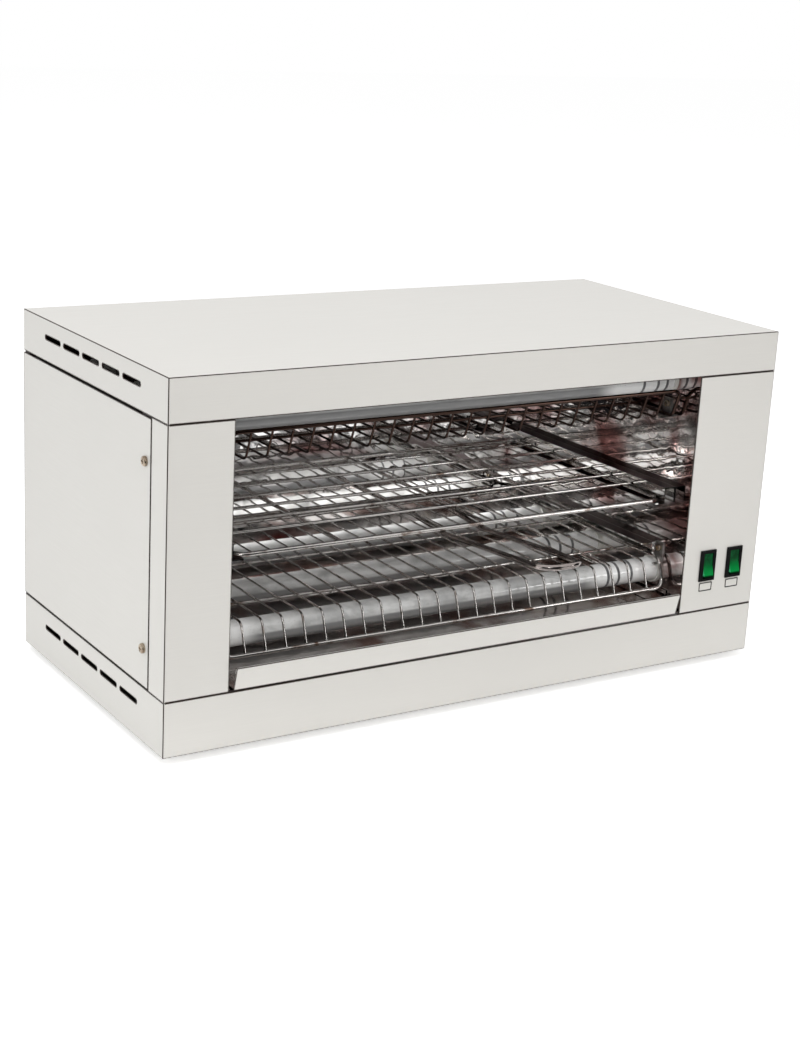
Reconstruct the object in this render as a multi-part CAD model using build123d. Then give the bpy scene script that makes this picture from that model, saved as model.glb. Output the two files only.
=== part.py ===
# Open-front quartz tube toaster with a folded steel casing, a mirror-lined cavity,
# a pull-out wire rack, a pull-out crumb tray and two rocker switches.
# Sizes are millimetres. X runs to the right, Y to the back and Z up.
# The origin is the centre of the base pan's underside.
from build123d import *
import math
import os

os.makedirs("parts", exist_ok=True)

# Casing
body_width = 450.0
body_depth = 217.0
body_height = 227.0
sheet = 0.8
fold_radius = 0.6
base_height = 34.6
cap_height = 26.7
casing_flange = 10.0
left_upright_width = 42.0
right_upright_width = 64.3
upright_return = 21.0
seam = 0.4
panel_gap = 1.6
panel_edge_gap = 1.0
lap_width = 15.0
lap_gap = 0.3
panel_flange = 8.0
panel_flange_set_back = 14.0
back_foot_width = 3.0
back_tab_height = 11.0
cut_overrun = 5.0

# Vent slots in the cap and the base
slot_length = 25.0
slot_height = 3.0
slot_pitch = 29.65
slot_count = 5
cap_slot_drop = 11.5
base_slot_drop = 12.2

# Mirror lining of the cavity
mirror_sheet = 0.6
mirror_flange = 8.0
front_flange = 14.0
ceiling_drop = 21.0
back_air_gap = 3.6
deck_border = 3.0

# Pan head screws
screw_head_radius = 3.1
screw_head_height = 2.0
screw_shank_radius = 1.6
screw_shank_length = 7.0
screw_hole_gap = 0.15
screw_recess_width = 0.9
screw_recess_length = 3.4
screw_recess_depth = 0.9
side_screw_inset = 28.8
side_screw_rise = 24.7
side_screw_drop = 27.6
rear_screw_inset = 45.0
rear_screw_length = 3.6

# Feet under the base pan
foot_radius = 10.0
foot_toe_radius = 8.5
foot_height = 5.0
foot_inset_x = 34.0
foot_inset_y = 30.0
foot_socket_radius = 4.0
foot_socket_depth = 2.6

# Heating tubes and their ends
tube_radius = 8.2
tube_wall = 1.3
tube_front_inset = 32.0
tube_back_inset = 51.4
tube_count = 3
lower_tube_rise = 24.1
upper_tube_drop = 34.3
tube_cap_gap = 0.3
coil_radius = 4.2
coil_wire_radius = 0.6
coil_lead_radius = 0.5
coil_end_inset = 27.0
coil_lead_run = 4.0
coil_lead_bend = 1.6
coil_lead_root = 1.0
collar_reach = 2.4
collar_radius = 9.5
collar_hole_gap = 0.3
cap_flange_radius = 12.0
cap_flange_thickness = 3.0
cap_body_radius = 9.8
cap_body_length = 12.0
cap_end_wall = 4.0
stud_radius = 2.0
stud_gap = 0.1
stud_head_radius = 3.4
stud_head_height = 1.4
stud_reach = 10.0
nut_width = 7.0
nut_height = 3.2
bus_width = 9.0
bus_thickness = 0.8
bus_end = 7.0
retainer_thickness = 1.0
retainer_half_height = 12.0
retainer_hole_gap = 0.5
retainer_gap = 0.2
retainer_shoulder = 13.5
retainer_foot = 7.0

# Wire guards over the tubes
guard_side_gap = 4.2
guard_frame_radius = 1.3
guard_wire_radius = 0.75
guard_bar_radius = 1.0
guard_wire_count = 23
guard_front_inset = 14.5
guard_bend_inset = 21.5
guard_back_gap = 12.0
guard_leg_drop = 18.7
guard_bend_radius = 5.0
guard_corner_radius = 6.0
guard_weld = 0.25
lower_guard_gap = 2.1
upper_guard_gap = 14.9
guard_bar_share = (0.19, 0.57)

# Clips that hold the guards to the walls
clip_sheet = 1.0
clip_width = 8.0
clip_height = 12.5
clip_reach = 7.4
clip_hook_width = 2.5
clip_wire_gap = 0.1
clip_screw_drop = 4.0
clip_screw_radius = 2.4
clip_screw_height = 1.5
clip_screw_shank = 1.2
clip_screw_length = 5.0
rear_clip_gap = 29.0
upper_clip_inset = 27.0
hook_clip_inset = 22.0
hook_wire_drop = 3.3

# Rack rails on the walls
rail_sheet = 0.8
rail_rise = 44.0
rail_width = 9.2
rail_web_height = 10.1
rail_lip = 7.0
rail_front_inset = 16.0
rail_back_gap = 12.0
angle_rise = 8.0
angle_width = 10.0
angle_leg = 8.5
angle_front_inset = 33.0
angle_back_gap = 34.0
rivet_inset = 25.0
rivet_shank_radius = 1.2
rivet_head_radius = 1.9
rivet_head_height = 0.8
rivet_drop = 3.0
rack_rivet_drop = 5.0

# Pull-out wire rack
rack_side_gap = 0.8
rack_seat_gap = 0.3
rack_frame_radius = 1.6
rack_long_radius = 1.1
rack_cross_radius = 1.2
rack_weld = 0.3
rack_front_inset = 17.0
rack_back_gap = 27.0
rack_corner_radius = 8.0
rack_long_front_gap = 35.0
rack_long_count = 6
rack_cross_near = 17.0
rack_cross_far = 89.5
handle_radius = 1.75
handle_half_gap = 14.5
handle_tail = 10.0
handle_reach = 91.0
handle_rise = 8.7
handle_bend_radius = 14.0
handle_end_radius = 11.0
handle_weld = 0.2

# Pull-out crumb tray
tray_sheet = 0.7
tray_side_gap = 3.4
tray_lift = 0.3
tray_wall_height = 9.0
tray_front_gap = 0.9
tray_back_gap = 11.0
lip_lean = 3.7
lip_height = 15.0
lip_hem = 4.0
lip_sheet = 0.9
runner_width = 1.6
runner_height = 12.0

# Rocker switches and their label plates
switch_left_inset = 43.3
switch_right_inset = 19.75
switch_rise = 32.6
switch_width = 13.4
switch_tall = 21.8
switch_bezel = 1.6
bezel_chamfer = 0.5
switch_body_width = 11.6
switch_body_tall = 19.4
switch_body_depth = 16.0
switch_hole_gap = 0.15
rocker_width = 8.0
rocker_tall = 16.4
rocker_gap = 0.25
rocker_swing_gap = 0.8
rocker_rise = 2.6
rocker_crest = 1.0
rocker_depth = 4.4
rocker_tilt = 9.0
rocker_pin_radius = 1.0
rocker_pin_gap = 0.08
rocker_pin_reach = 1.0
pocket_depth = 9.0
blade_width = 4.8
blade_thickness = 0.8
blade_length = 7.0
blade_pitch = 7.0
blade_root = 1.5
label_width = 11.8
label_tall = 6.7
label_thickness = 0.3
label_corner = 1.2
label_drop = 15.2

# Mains inlet, terminal block and wiring
gland_inset_x = 34.0
gland_rise = 23.4
gland_thread_radius = 7.8
gland_hole_gap = 0.2
gland_bore_radius = 4.0
gland_hex = 19.0
gland_hex_height = 5.0
gland_cap_radius = 8.6
gland_cap_length = 9.0
gland_thread_length = 9.0
gland_nut_height = 4.0
gland_nut_gap = 0.1
block_length = 34.0
block_width = 17.0
block_height = 15.0
block_inset_x = 36.0
block_back_gap = 60.5
block_hole_radius = 2.2
block_pole_count = 3
earth_stud_radius = 2.0
earth_stud_height = 14.0
earth_inset_x = 72.0
earth_back_gap = 60.5
earth_gap = 0.1
wire_radius = 1.3
wire_bend = 2.5
wire_turn = 3.0
wire_reach = 10.0
wire_low_run = 95.0
wire_high_run = 150.0
wire_entry = 4.0
wire_entry_run = 24.0
wire_climb = 7.0
wire_clear = 0.3

# Places worked out from the sizes above
left_x = -body_width / 2
right_x = body_width / 2
front_y = -body_depth / 2
back_y = body_depth / 2
cap_bottom = body_height - cap_height
wall_left_x = left_x + left_upright_width
wall_right_x = right_x - right_upright_width
cavity_x = (wall_left_x + wall_right_x) / 2
cavity_width = wall_right_x - wall_left_x
deck_top = base_height + mirror_sheet
ceiling_z = body_height - ceiling_drop
mirror_back_y = back_y - sheet - back_air_gap - mirror_sheet
wall_front_y = front_y + sheet
notch_y = front_y + casing_flange + seam
tube_pitch = (body_depth - tube_front_inset - tube_back_inset) / (tube_count - 1)
tube_ys = [front_y + tube_front_inset + tube_pitch * i for i in range(tube_count)]
cap_end = mirror_sheet + cap_flange_thickness + cap_body_length
lower_tube_height = base_height + lower_tube_rise
upper_tube_height = body_height - upper_tube_drop
lower_guard_height = lower_tube_height + tube_radius + lower_guard_gap
upper_guard_height = upper_tube_height - tube_radius - upper_guard_gap
angle_top = lower_guard_height + angle_rise
rail_top = angle_top + rail_rise
switch_height = base_height + switch_rise
gland_height = base_height + gland_rise
side_screw_low = base_height + side_screw_rise
side_screw_high = cap_bottom - side_screw_drop
rack_z = rail_top - rail_web_height + rack_seat_gap + rack_frame_radius
rack_half_width = cavity_width / 2 - rail_width - rack_side_gap - rack_frame_radius
rack_long_z = rack_z + rack_frame_radius + rack_long_radius - rack_weld
rack_front_y = front_y + rack_front_inset
rack_back_y = back_y - rack_back_gap
rack_long_pitch = (rack_back_y - rack_front_y - rack_long_front_gap) / rack_long_count
switch_xs = [right_x - switch_left_inset, right_x - switch_right_inset]
block_y = back_y - block_back_gap
earth_y = back_y - earth_back_gap
sides = ((-1, wall_left_x), (1, wall_right_x))
row_heights = (lower_tube_height, upper_tube_height)


def between(x0, x1, y0, y1, z0, z1):
    """A block between two corners, given in any order along each axis."""
    centre = Pos((x0 + x1) / 2, (y0 + y1) / 2, (z0 + z1) / 2)
    return centre * Box(abs(x1 - x0), abs(y1 - y0), abs(z1 - z0))


def rod_x(x0, x1, y, z, radius):
    """A round bar along X."""
    return Pos((x0 + x1) / 2, y, z) * Rot(0, 90, 0) * Cylinder(radius, abs(x1 - x0))


def rod_y(x, y0, y1, z, radius):
    """A round bar along Y."""
    return Pos(x, (y0 + y1) / 2, z) * Rot(90, 0, 0) * Cylinder(radius, abs(y1 - y0))


def rod_z(x, y, z0, z1, radius):
    """A round bar along Z."""
    return Pos(x, y, (z0 + z1) / 2) * Cylinder(radius, abs(z1 - z0))


def hex_bar(width, height):
    """A hexagonal bar along Z, measured across its flats."""
    corner_radius = width / math.sqrt(3)
    return extrude(RegularPolygon(corner_radius, 6), height / 2, both=True)


def wire_along(points, bend_radius, wire, close=False):
    """A round wire along straight runs joined by tangent arcs."""
    path = FilletPolyline(*points, radius=bend_radius, close=close)
    start = path @ 0
    profile = Plane(origin=start, z_dir=path % 0) * Circle(wire)
    return sweep(profile, path=path)


def join(pieces):
    """One solid from pieces that run into each other."""
    first, *rest = pieces
    return first.fuse(*rest)


def save(shape, name):
    export_step(shape, f"parts/{name}.step")


def group(pieces):
    """Several separate solids kept in one node."""
    return Compound(children=list(pieces))


def vent_slots(side_x, height):
    """A row of slots through one side of the casing."""
    slots = []
    for i in range(slot_count):
        y = slot_pitch * (i - (slot_count - 1) / 2)
        outline = Plane(origin=(side_x, y, height), x_dir=(0, 1, 0), z_dir=(1, 0, 0)) * SlotOverall(
            slot_length, slot_height
        )
        slots.append(extrude(outline, cut_overrun, both=True))
    return slots


def folded_pan(z0, z1):
    """The solid outline of a folded pan, with its corners eased."""
    block = between(left_x, right_x, front_y, back_y, z0, z1)
    return fillet(block.edges().filter_by(Axis.Z), fold_radius)


def make_base_pan():
    pan = folded_pan(0, base_height)
    pan = fillet(pan.edges().filter_by(Plane.XY).group_by(Axis.Z)[0], fold_radius)
    pan -= between(
        left_x + sheet, right_x - sheet, front_y + sheet, back_y - sheet, sheet, base_height - sheet
    )
    pan -= between(
        left_x + casing_flange, right_x - casing_flange,
        front_y + casing_flange, back_y - casing_flange,
        base_height / 2, base_height + cut_overrun,
    )
    for side_x in (left_x, right_x):
        for slot in vent_slots(side_x, base_height - base_slot_drop):
            pan -= slot
    for x, y in foot_places():
        pan -= rod_z(x, y, -cut_overrun, cut_overrun, screw_shank_radius + screw_hole_gap)
    pan -= rod_z(earth_x(), earth_y, -cut_overrun, cut_overrun, earth_stud_radius + earth_gap)
    return pan


def make_top_cover():
    cover = folded_pan(cap_bottom, body_height)
    cover = fillet(cover.edges().filter_by(Plane.XY).group_by(Axis.Z)[-1], fold_radius)
    cover -= between(
        left_x + sheet, right_x - sheet, front_y + sheet, back_y - sheet,
        cap_bottom + sheet, body_height - sheet,
    )
    cover -= between(
        left_x + casing_flange, right_x - casing_flange,
        front_y + casing_flange, back_y - sheet,
        cap_bottom - cut_overrun, cap_bottom + cap_height / 2,
    )
    for side_x in (left_x, right_x):
        for slot in vent_slots(side_x, body_height - cap_slot_drop):
            cover -= slot
    for x in rear_screw_xs():
        cover -= rod_y(x, back_y - cut_overrun, back_y + cut_overrun, rear_screw_z(), rear_hole())
    return cover


def rear_screw_xs():
    return [left_x + rear_screw_inset, 0, right_x - rear_screw_inset]


def rear_screw_z():
    return cap_bottom + back_tab_height / 2


def rear_hole():
    return screw_shank_radius + screw_hole_gap


def foot_places():
    """Centres of the feet, in from each corner."""
    xs = (left_x + foot_inset_x, right_x - foot_inset_x)
    ys = (front_y + foot_inset_y, back_y - foot_inset_y)
    return [(x, y) for x in xs for y in ys]


def make_feet():
    feet = []
    for x, y in foot_places():
        foot = Pos(x, y, -foot_height / 2) * Cone(foot_toe_radius, foot_radius, foot_height)
        foot -= rod_z(x, y, -foot_height - cut_overrun, foot_socket_depth - foot_height, foot_socket_radius)
        foot -= rod_z(x, y, -foot_height, cut_overrun, screw_shank_radius + screw_hole_gap)
        feet.append(foot)
    return group(feet)


def pan_screw(head_radius, head_height, shank_radius, shank_length):
    """A pan head screw whose head sits on Z = 0 and whose shank points down."""
    head = Pos(0, 0, head_height / 2) * Cylinder(head_radius, head_height)
    head = fillet(head.edges().group_by(Axis.Z)[-1], head_height / 2)
    screw = head + Pos(0, 0, -shank_length / 2) * Cylinder(shank_radius, shank_length)
    recess = Box(screw_recess_length, screw_recess_width, screw_recess_depth)
    recess += Box(screw_recess_width, screw_recess_length, screw_recess_depth)
    return screw - Pos(0, 0, head_height) * recess


def make_foot_screws():
    screw = pan_screw(screw_head_radius, screw_head_height, screw_shank_radius, screw_shank_length)
    seat = foot_socket_depth - foot_height
    return group(Pos(x, y, seat) * Rot(180, 0, 0) * screw for x, y in foot_places())


def side_screw_places(side):
    edge = left_x if side < 0 else right_x
    y = front_y + side_screw_inset
    return [(edge, y, z) for z in (side_screw_low, side_screw_high)]


def make_side_screws():
    screw = pan_screw(screw_head_radius, screw_head_height, screw_shank_radius, screw_shank_length)
    screws = []
    for side in (-1, 1):
        for x, y, z in side_screw_places(side):
            screws.append(Pos(x, y, z) * Rot(0, 90 * side, 0) * screw)
    return group(screws)


def make_rear_screws():
    screw = pan_screw(screw_head_radius, screw_head_height, screw_shank_radius, rear_screw_length)
    return group(Pos(x, back_y, rear_screw_z()) * Rot(-90, 0, 0) * screw for x in rear_screw_xs())


def make_upright(side):
    """A front corner upright: its face, its wrap onto the side, the lap behind the panel and two feet."""
    outer = left_x if side < 0 else right_x
    inner = wall_left_x if side < 0 else wall_right_x
    low = base_height + seam
    high = cap_bottom - seam
    skin = -side * sheet
    lap_face = outer - side * (sheet + lap_gap)
    wrap_end = front_y + upright_return
    foot_end = inner + side * (front_flange + deck_border)
    upright = between(outer, inner, front_y, front_y + sheet, low, high)
    upright += between(outer, outer + skin, front_y, wrap_end, low, high)
    upright += between(outer, lap_face + skin, wrap_end - sheet, wrap_end, low, high)
    upright += between(lap_face, lap_face + skin, wrap_end - sheet, wrap_end + lap_width, low, high)
    for foot_z in (low, high - sheet):
        upright += between(outer, foot_end, front_y, front_y + casing_flange, foot_z, foot_z + sheet)
    corner = [
        edge for edge in upright.edges().filter_by(Axis.Z)
        if abs(edge.center().X - outer) < fold_radius and edge.center().Y < front_y + fold_radius
    ]
    upright = fillet(corner, fold_radius)
    hole = screw_shank_radius + screw_hole_gap
    for x, y, z in side_screw_places(side):
        upright -= rod_x(x - cut_overrun, x + cut_overrun, y, z, hole)
    return upright


def make_left_upright():
    return make_upright(-1)


def make_right_upright():
    upright = make_upright(1)
    for x in switch_xs:
        upright -= between(
            x - switch_body_width / 2 - switch_hole_gap, x + switch_body_width / 2 + switch_hole_gap,
            front_y - cut_overrun, front_y + cut_overrun,
            switch_height - switch_body_tall / 2 - switch_hole_gap,
            switch_height + switch_body_tall / 2 + switch_hole_gap,
        )
    return upright


def make_side_panel(side):
    """A flat side panel with folded top and bottom edges."""
    outer = left_x if side < 0 else right_x
    inward = -side
    low = base_height + panel_edge_gap
    high = cap_bottom - panel_gap
    start = front_y + upright_return + panel_edge_gap
    fold_start = start + lap_width + panel_edge_gap
    fold_end = back_y - panel_flange_set_back
    panel = between(outer, outer + inward * sheet, start, back_y, low, high)
    for fold_z in (low, high - sheet):
        panel += between(outer, outer + inward * panel_flange, fold_start, fold_end, fold_z, fold_z + sheet)
    hole = screw_shank_radius + screw_hole_gap
    for x, y, z in side_screw_places(side):
        panel -= rod_x(x - cut_overrun, x + cut_overrun, y, z, hole)
    return panel


def make_back_panel():
    """The rear wall, with side folds, a foot on the base and a tab behind the cap's skirt."""
    reach = lap_gap + sheet
    low = base_height + seam
    high = cap_bottom - seam
    x0 = left_x + reach
    x1 = right_x - reach
    tab_y = back_y - sheet - lap_gap
    tab_x = casing_flange + lap_gap
    panel = between(x0, x1, back_y - sheet, back_y, low, high)
    for edge, inward in ((x0, 1), (x1, -1)):
        panel += between(edge, edge + inward * sheet, back_y - panel_flange, back_y, low, high)
    panel += between(x0, x1, back_y - sheet - back_foot_width, back_y, low, low + sheet)
    panel += between(left_x + tab_x, right_x - tab_x, tab_y - sheet, back_y, high - sheet, high)
    panel += between(
        left_x + tab_x, right_x - tab_x, tab_y - sheet, tab_y, high - sheet, cap_bottom + back_tab_height
    )
    for x in rear_screw_xs():
        panel -= rod_y(x, back_y - cut_overrun, back_y + cut_overrun, rear_screw_z(), rear_hole())
    panel -= rod_y(
        gland_x(), back_y - cut_overrun, back_y + cut_overrun, gland_height,
        gland_thread_radius + gland_hole_gap,
    )
    return panel


def make_mirror_wall(side, wall_x):
    """A cavity side wall with outward folds, and a collar hole for each tube."""
    skin = side * mirror_sheet
    fold = side * mirror_flange
    low = deck_top
    high = ceiling_z
    wall = between(wall_x, wall_x + skin, wall_front_y, mirror_back_y, low, high)
    wall += between(
        wall_x, wall_x + side * front_flange, wall_front_y, wall_front_y + mirror_sheet,
        low, cap_bottom - seam,
    )
    wall += between(wall_x, wall_x + fold, wall_front_y, mirror_back_y, low, low + mirror_sheet)
    wall += between(wall_x, wall_x + fold, notch_y, mirror_back_y, high - mirror_sheet, high)
    wall += between(wall_x, wall_x + fold, mirror_back_y - mirror_sheet, mirror_back_y, low, high)
    wall -= between(
        wall_x - side * cut_overrun, wall_x + side * (front_flange + cut_overrun),
        front_y - cut_overrun, notch_y, cap_bottom - seam, high + cut_overrun,
    )
    hole = collar_radius + collar_hole_gap
    for tube_z in row_heights:
        for y in tube_ys:
            wall -= rod_x(wall_x - cut_overrun, wall_x + cut_overrun, y, tube_z, hole)
    for screw_side, _, y, z in clip_screw_places():
        if screw_side == side:
            wall -= rod_x(
                wall_x - cut_overrun, wall_x + cut_overrun, y, z, clip_screw_shank + screw_hole_gap
            )
    for y, z, _ in rivet_places():
        wall -= rivet_hole(wall_x, y, z)
    return wall


def make_mirror_back_wall():
    reach = mirror_flange + mirror_sheet
    return between(
        wall_left_x - reach, wall_right_x + reach,
        mirror_back_y, mirror_back_y + mirror_sheet, deck_top, ceiling_z + mirror_sheet,
    )


def make_mirror_ceiling():
    """The reflector over the upper tubes, with a folded front lip."""
    reach = mirror_flange + mirror_sheet
    ceiling = between(
        wall_left_x - reach, wall_right_x + reach,
        notch_y, mirror_back_y, ceiling_z, ceiling_z + mirror_sheet,
    )
    ceiling += between(
        wall_left_x + mirror_sheet, wall_right_x - mirror_sheet,
        notch_y, notch_y + mirror_sheet, cap_bottom + sheet + seam, ceiling_z,
    )
    return ceiling


def make_tray_deck():
    """The cavity floor plate on the base pan's folds, with a low runner at each side of the tray."""
    reach = mirror_flange + deck_border
    deck = between(
        wall_left_x - reach, wall_right_x + reach, wall_front_y + mirror_sheet + seam,
        mirror_back_y + mirror_sheet, base_height, deck_top,
    )
    runner_front = wall_front_y + front_flange
    for side, wall_x in sides:
        deck += between(
            wall_x - side * mirror_sheet, wall_x - side * (mirror_sheet + runner_width),
            runner_front, mirror_back_y - mirror_sheet, deck_top, deck_top + runner_height,
        )
    return deck


def tube_places():
    """Each heating tube's name, depth and height."""
    names = ("front", "middle", "rear")
    places = []
    for row, height in zip(("lower", "upper"), row_heights):
        for i, y in enumerate(tube_ys):
            name = names[i] if i < len(names) else f"extra_{i}"
            places.append((f"{row}_{name}", y, height))
    return places


def tube_end(side, wall_x):
    """Where the glass tube ends, inside its ceramic cap."""
    return wall_x + side * (cap_end - cap_end_wall - tube_cap_gap)


def make_quartz_tube(y, z):
    x0 = tube_end(-1, wall_left_x)
    x1 = tube_end(1, wall_right_x)
    return rod_x(x0, x1, y, z, tube_radius) - rod_x(
        x0 - cut_overrun, x1 + cut_overrun, y, z, tube_radius - tube_wall
    )


def make_heating_coil(y, z):
    """A close-wound coil, drawn as its sleeve, with a bent lead to each terminal stud."""
    x0 = wall_left_x + coil_end_inset
    x1 = wall_right_x - coil_end_inset
    pieces = [
        rod_x(x0, x1, y, z, coil_radius + coil_wire_radius)
        - rod_x(x0 - cut_overrun, x1 + cut_overrun, y, z, coil_radius - coil_wire_radius)
    ]
    for (side, wall_x), end in zip(sides, (x0, x1)):
        turn = end + side * coil_lead_run
        points = [
            (end - side * coil_lead_root, y, z + coil_radius),
            (turn, y, z + coil_radius),
            (turn, y, z),
            (wall_x + side * (cap_end - cap_end_wall - stud_head_height), y, z),
        ]
        pieces.append(wire_along(points, coil_lead_bend, coil_lead_radius))
    return join(pieces)


def make_ceramic_cap(side, wall_x, y, z):
    """A ceramic end cap: a collar in the wall, a flange outside it and a closed body."""
    outside = wall_x + side * mirror_sheet
    flange_end = outside + side * cap_flange_thickness
    body_end = wall_x + side * cap_end
    bore_end = wall_x + side * (cap_end - cap_end_wall)
    inside = wall_x - side * collar_reach
    cap = rod_x(inside, outside, y, z, collar_radius)
    cap += rod_x(outside, flange_end, y, z, cap_flange_radius)
    cap += rod_x(outside, body_end, y, z, cap_body_radius)
    cap -= rod_x(inside - side * cut_overrun, bore_end, y, z, tube_radius + tube_cap_gap)
    cap -= rod_x(inside, body_end + side * cut_overrun, y, z, stud_radius + stud_gap)
    return cap


def make_ceramic_caps(row_z):
    caps = []
    for side, wall_x in sides:
        for y in tube_ys:
            caps.append(make_ceramic_cap(side, wall_x, y, row_z))
    return group(caps)


def make_terminal_studs():
    studs = []
    for _, y, z in tube_places():
        for side, wall_x in sides:
            inner = wall_x + side * (cap_end - cap_end_wall)
            end = wall_x + side * (cap_end + stud_reach)
            head = rod_x(inner - side * stud_head_height, inner, y, z, stud_head_radius)
            studs.append(head + rod_x(inner, end, y, z, stud_radius))
    return group(studs)


def make_terminal_nuts():
    nuts = []
    for _, y, z in tube_places():
        for side, wall_x in sides:
            seat = wall_x + side * (cap_end + bus_thickness)
            nut = Pos(seat + side * nut_height / 2, y, z) * Rot(0, 90, 0) * hex_bar(nut_width, nut_height)
            nuts.append(nut - rod_x(seat - nut_height, seat + nut_height, y, z, stud_radius + stud_gap))
    return group(nuts)


def make_busbar(side, wall_x, z):
    """A strip that joins the three studs of one row on one side."""
    face = wall_x + side * cap_end
    bar = between(
        face, face + side * bus_thickness, tube_ys[0] - bus_end, tube_ys[-1] + bus_end,
        z - bus_width / 2, z + bus_width / 2,
    )
    for y in tube_ys:
        bar -= rod_x(face - cut_overrun, face + cut_overrun, y, z, stud_radius + stud_gap)
    return bar


def make_tube_retainer(side, wall_x, z):
    """A strip outside the wall that traps the flanges of one row of ceramic caps."""
    wall_face = wall_x + side * mirror_sheet
    face = wall_face + side * (cap_flange_thickness + retainer_gap)
    skin = side * retainer_thickness
    y0 = tube_ys[0] - retainer_shoulder
    y1 = tube_ys[-1] + retainer_shoulder
    low = z - retainer_half_height
    high = z + retainer_half_height
    strip = between(face, face + skin, y0, y1, low, high)
    for shoulder, outward in ((y0, -1), (y1, 1)):
        edge = shoulder + outward * retainer_thickness
        strip += between(wall_face, face + skin, shoulder, edge, low, high)
        strip += between(wall_face, wall_face + skin, shoulder, shoulder + outward * retainer_foot, low, high)
    for y in tube_ys:
        strip -= rod_x(
            wall_face, face + side * cut_overrun, y, z, cap_body_radius + retainer_hole_gap
        )
    return strip


def guard_outline(height, way):
    """Depths and heights of a guard's back wire, bend and front wire; way is -1 for legs down."""
    back = (back_y - guard_back_gap, height)
    bend = (front_y + guard_bend_inset, height)
    front = (front_y + guard_front_inset, height + way * guard_leg_drop)
    return back, bend, front


def make_guard(height, way):
    """A welded guard: a frame wire round the edge, thin wires over the tubes and cross bars."""
    back, bend, front = guard_outline(height, way)
    x0 = wall_left_x + guard_side_gap
    x1 = wall_right_x - guard_side_gap
    loop = [(x0, *back), (x0, *bend), (x0, *front), (x1, *front), (x1, *bend), (x1, *back)]
    bends = [
        guard_corner_radius, guard_bend_radius, guard_corner_radius,
        guard_corner_radius, guard_bend_radius, guard_corner_radius,
    ]
    pieces = [wire_along(loop, bends, guard_frame_radius, close=True)]
    for i in range(1, guard_wire_count + 1):
        x = x0 + (x1 - x0) * i / (guard_wire_count + 1)
        pieces.append(wire_along([(x, *back), (x, *bend), (x, *front)], guard_bend_radius, guard_wire_radius))
    bar_z = height + way * (guard_wire_radius + guard_bar_radius - guard_weld)
    for share in guard_bar_share:
        y = bend[0] + (back[0] - bend[0]) * share
        pieces.append(rod_x(x0, x1, y, bar_z, guard_bar_radius))
    return join(pieces)


def guard_clip_places(height):
    """Front edge of each plain clip on one wall for a guard at this height."""
    return [back_y - rear_clip_gap] if height < rail_top else [
        front_y + upper_clip_inset, back_y - rear_clip_gap
    ]


def make_plain_clip(side, wall_x, y0, wire_z):
    """An angle clip: a leg on the wall and a foot under the guard's side wire."""
    seat = wire_z - guard_frame_radius - clip_wire_gap
    face = wall_x - side * clip_sheet
    clip = between(wall_x, face, y0, y0 + clip_width, seat - clip_sheet, seat - clip_sheet + clip_height)
    clip += between(wall_x, wall_x - side * clip_reach, y0, y0 + clip_width, seat - clip_sheet, seat)
    return clip - clip_hole(side, wall_x, y0, seat - clip_sheet + clip_height)


def clip_hole(side, wall_x, y0, top):
    return rod_x(
        wall_x - cut_overrun, wall_x + cut_overrun, y0 + clip_width / 2, top - clip_screw_drop,
        clip_screw_shank + screw_hole_gap,
    )


def hook_clip_front():
    return front_y + hook_clip_inset


def make_hook_clip(side, wall_x, wire_z):
    """A front clip: its hook passes ahead of the tube, under the guard's bend."""
    y0 = hook_clip_front()
    seat = wire_z - hook_wire_drop
    shoulder = wire_z - guard_wire_radius
    top = wire_z - guard_frame_radius - clip_wire_gap - clip_sheet + clip_height
    face = wall_x - side * clip_sheet
    clip = between(wall_x, face, y0, y0 + clip_width, shoulder, top)
    clip += between(wall_x, face, y0, y0 + clip_hook_width, seat - clip_sheet, shoulder)
    clip += between(wall_x, wall_x - side * clip_reach, y0, y0 + clip_hook_width, seat - clip_sheet, seat)
    return clip - clip_hole(side, wall_x, y0, top)


def clip_screw_places():
    """Every clip screw's side, wall, depth and height."""
    places = []
    for side, wall_x in sides:
        for wire_z in (lower_guard_height, upper_guard_height):
            top = wire_z - guard_frame_radius - clip_wire_gap - clip_sheet + clip_height
            for y0 in guard_clip_places(wire_z):
                places.append((side, wall_x, y0 + clip_width / 2, top - clip_screw_drop))
        low_top = lower_guard_height - guard_frame_radius - clip_wire_gap - clip_sheet + clip_height
        places.append((side, wall_x, hook_clip_front() + clip_width / 2, low_top - clip_screw_drop))
    return places


def make_lower_clips():
    clips = []
    for side, wall_x in sides:
        clips.append(make_hook_clip(side, wall_x, lower_guard_height))
        for y0 in guard_clip_places(lower_guard_height):
            clips.append(make_plain_clip(side, wall_x, y0, lower_guard_height))
    return group(clips)


def make_upper_clips():
    clips = []
    for side, wall_x in sides:
        for y0 in guard_clip_places(upper_guard_height):
            clips.append(make_plain_clip(side, wall_x, y0, upper_guard_height))
    return group(clips)


def make_clip_screws():
    screw = pan_screw(clip_screw_radius, clip_screw_height, clip_screw_shank, clip_screw_length)
    screws = []
    for side, wall_x, y, z in clip_screw_places():
        screws.append(Pos(wall_x - side * clip_sheet, y, z) * Rot(0, -90 * side, 0) * screw)
    return group(screws)


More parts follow.
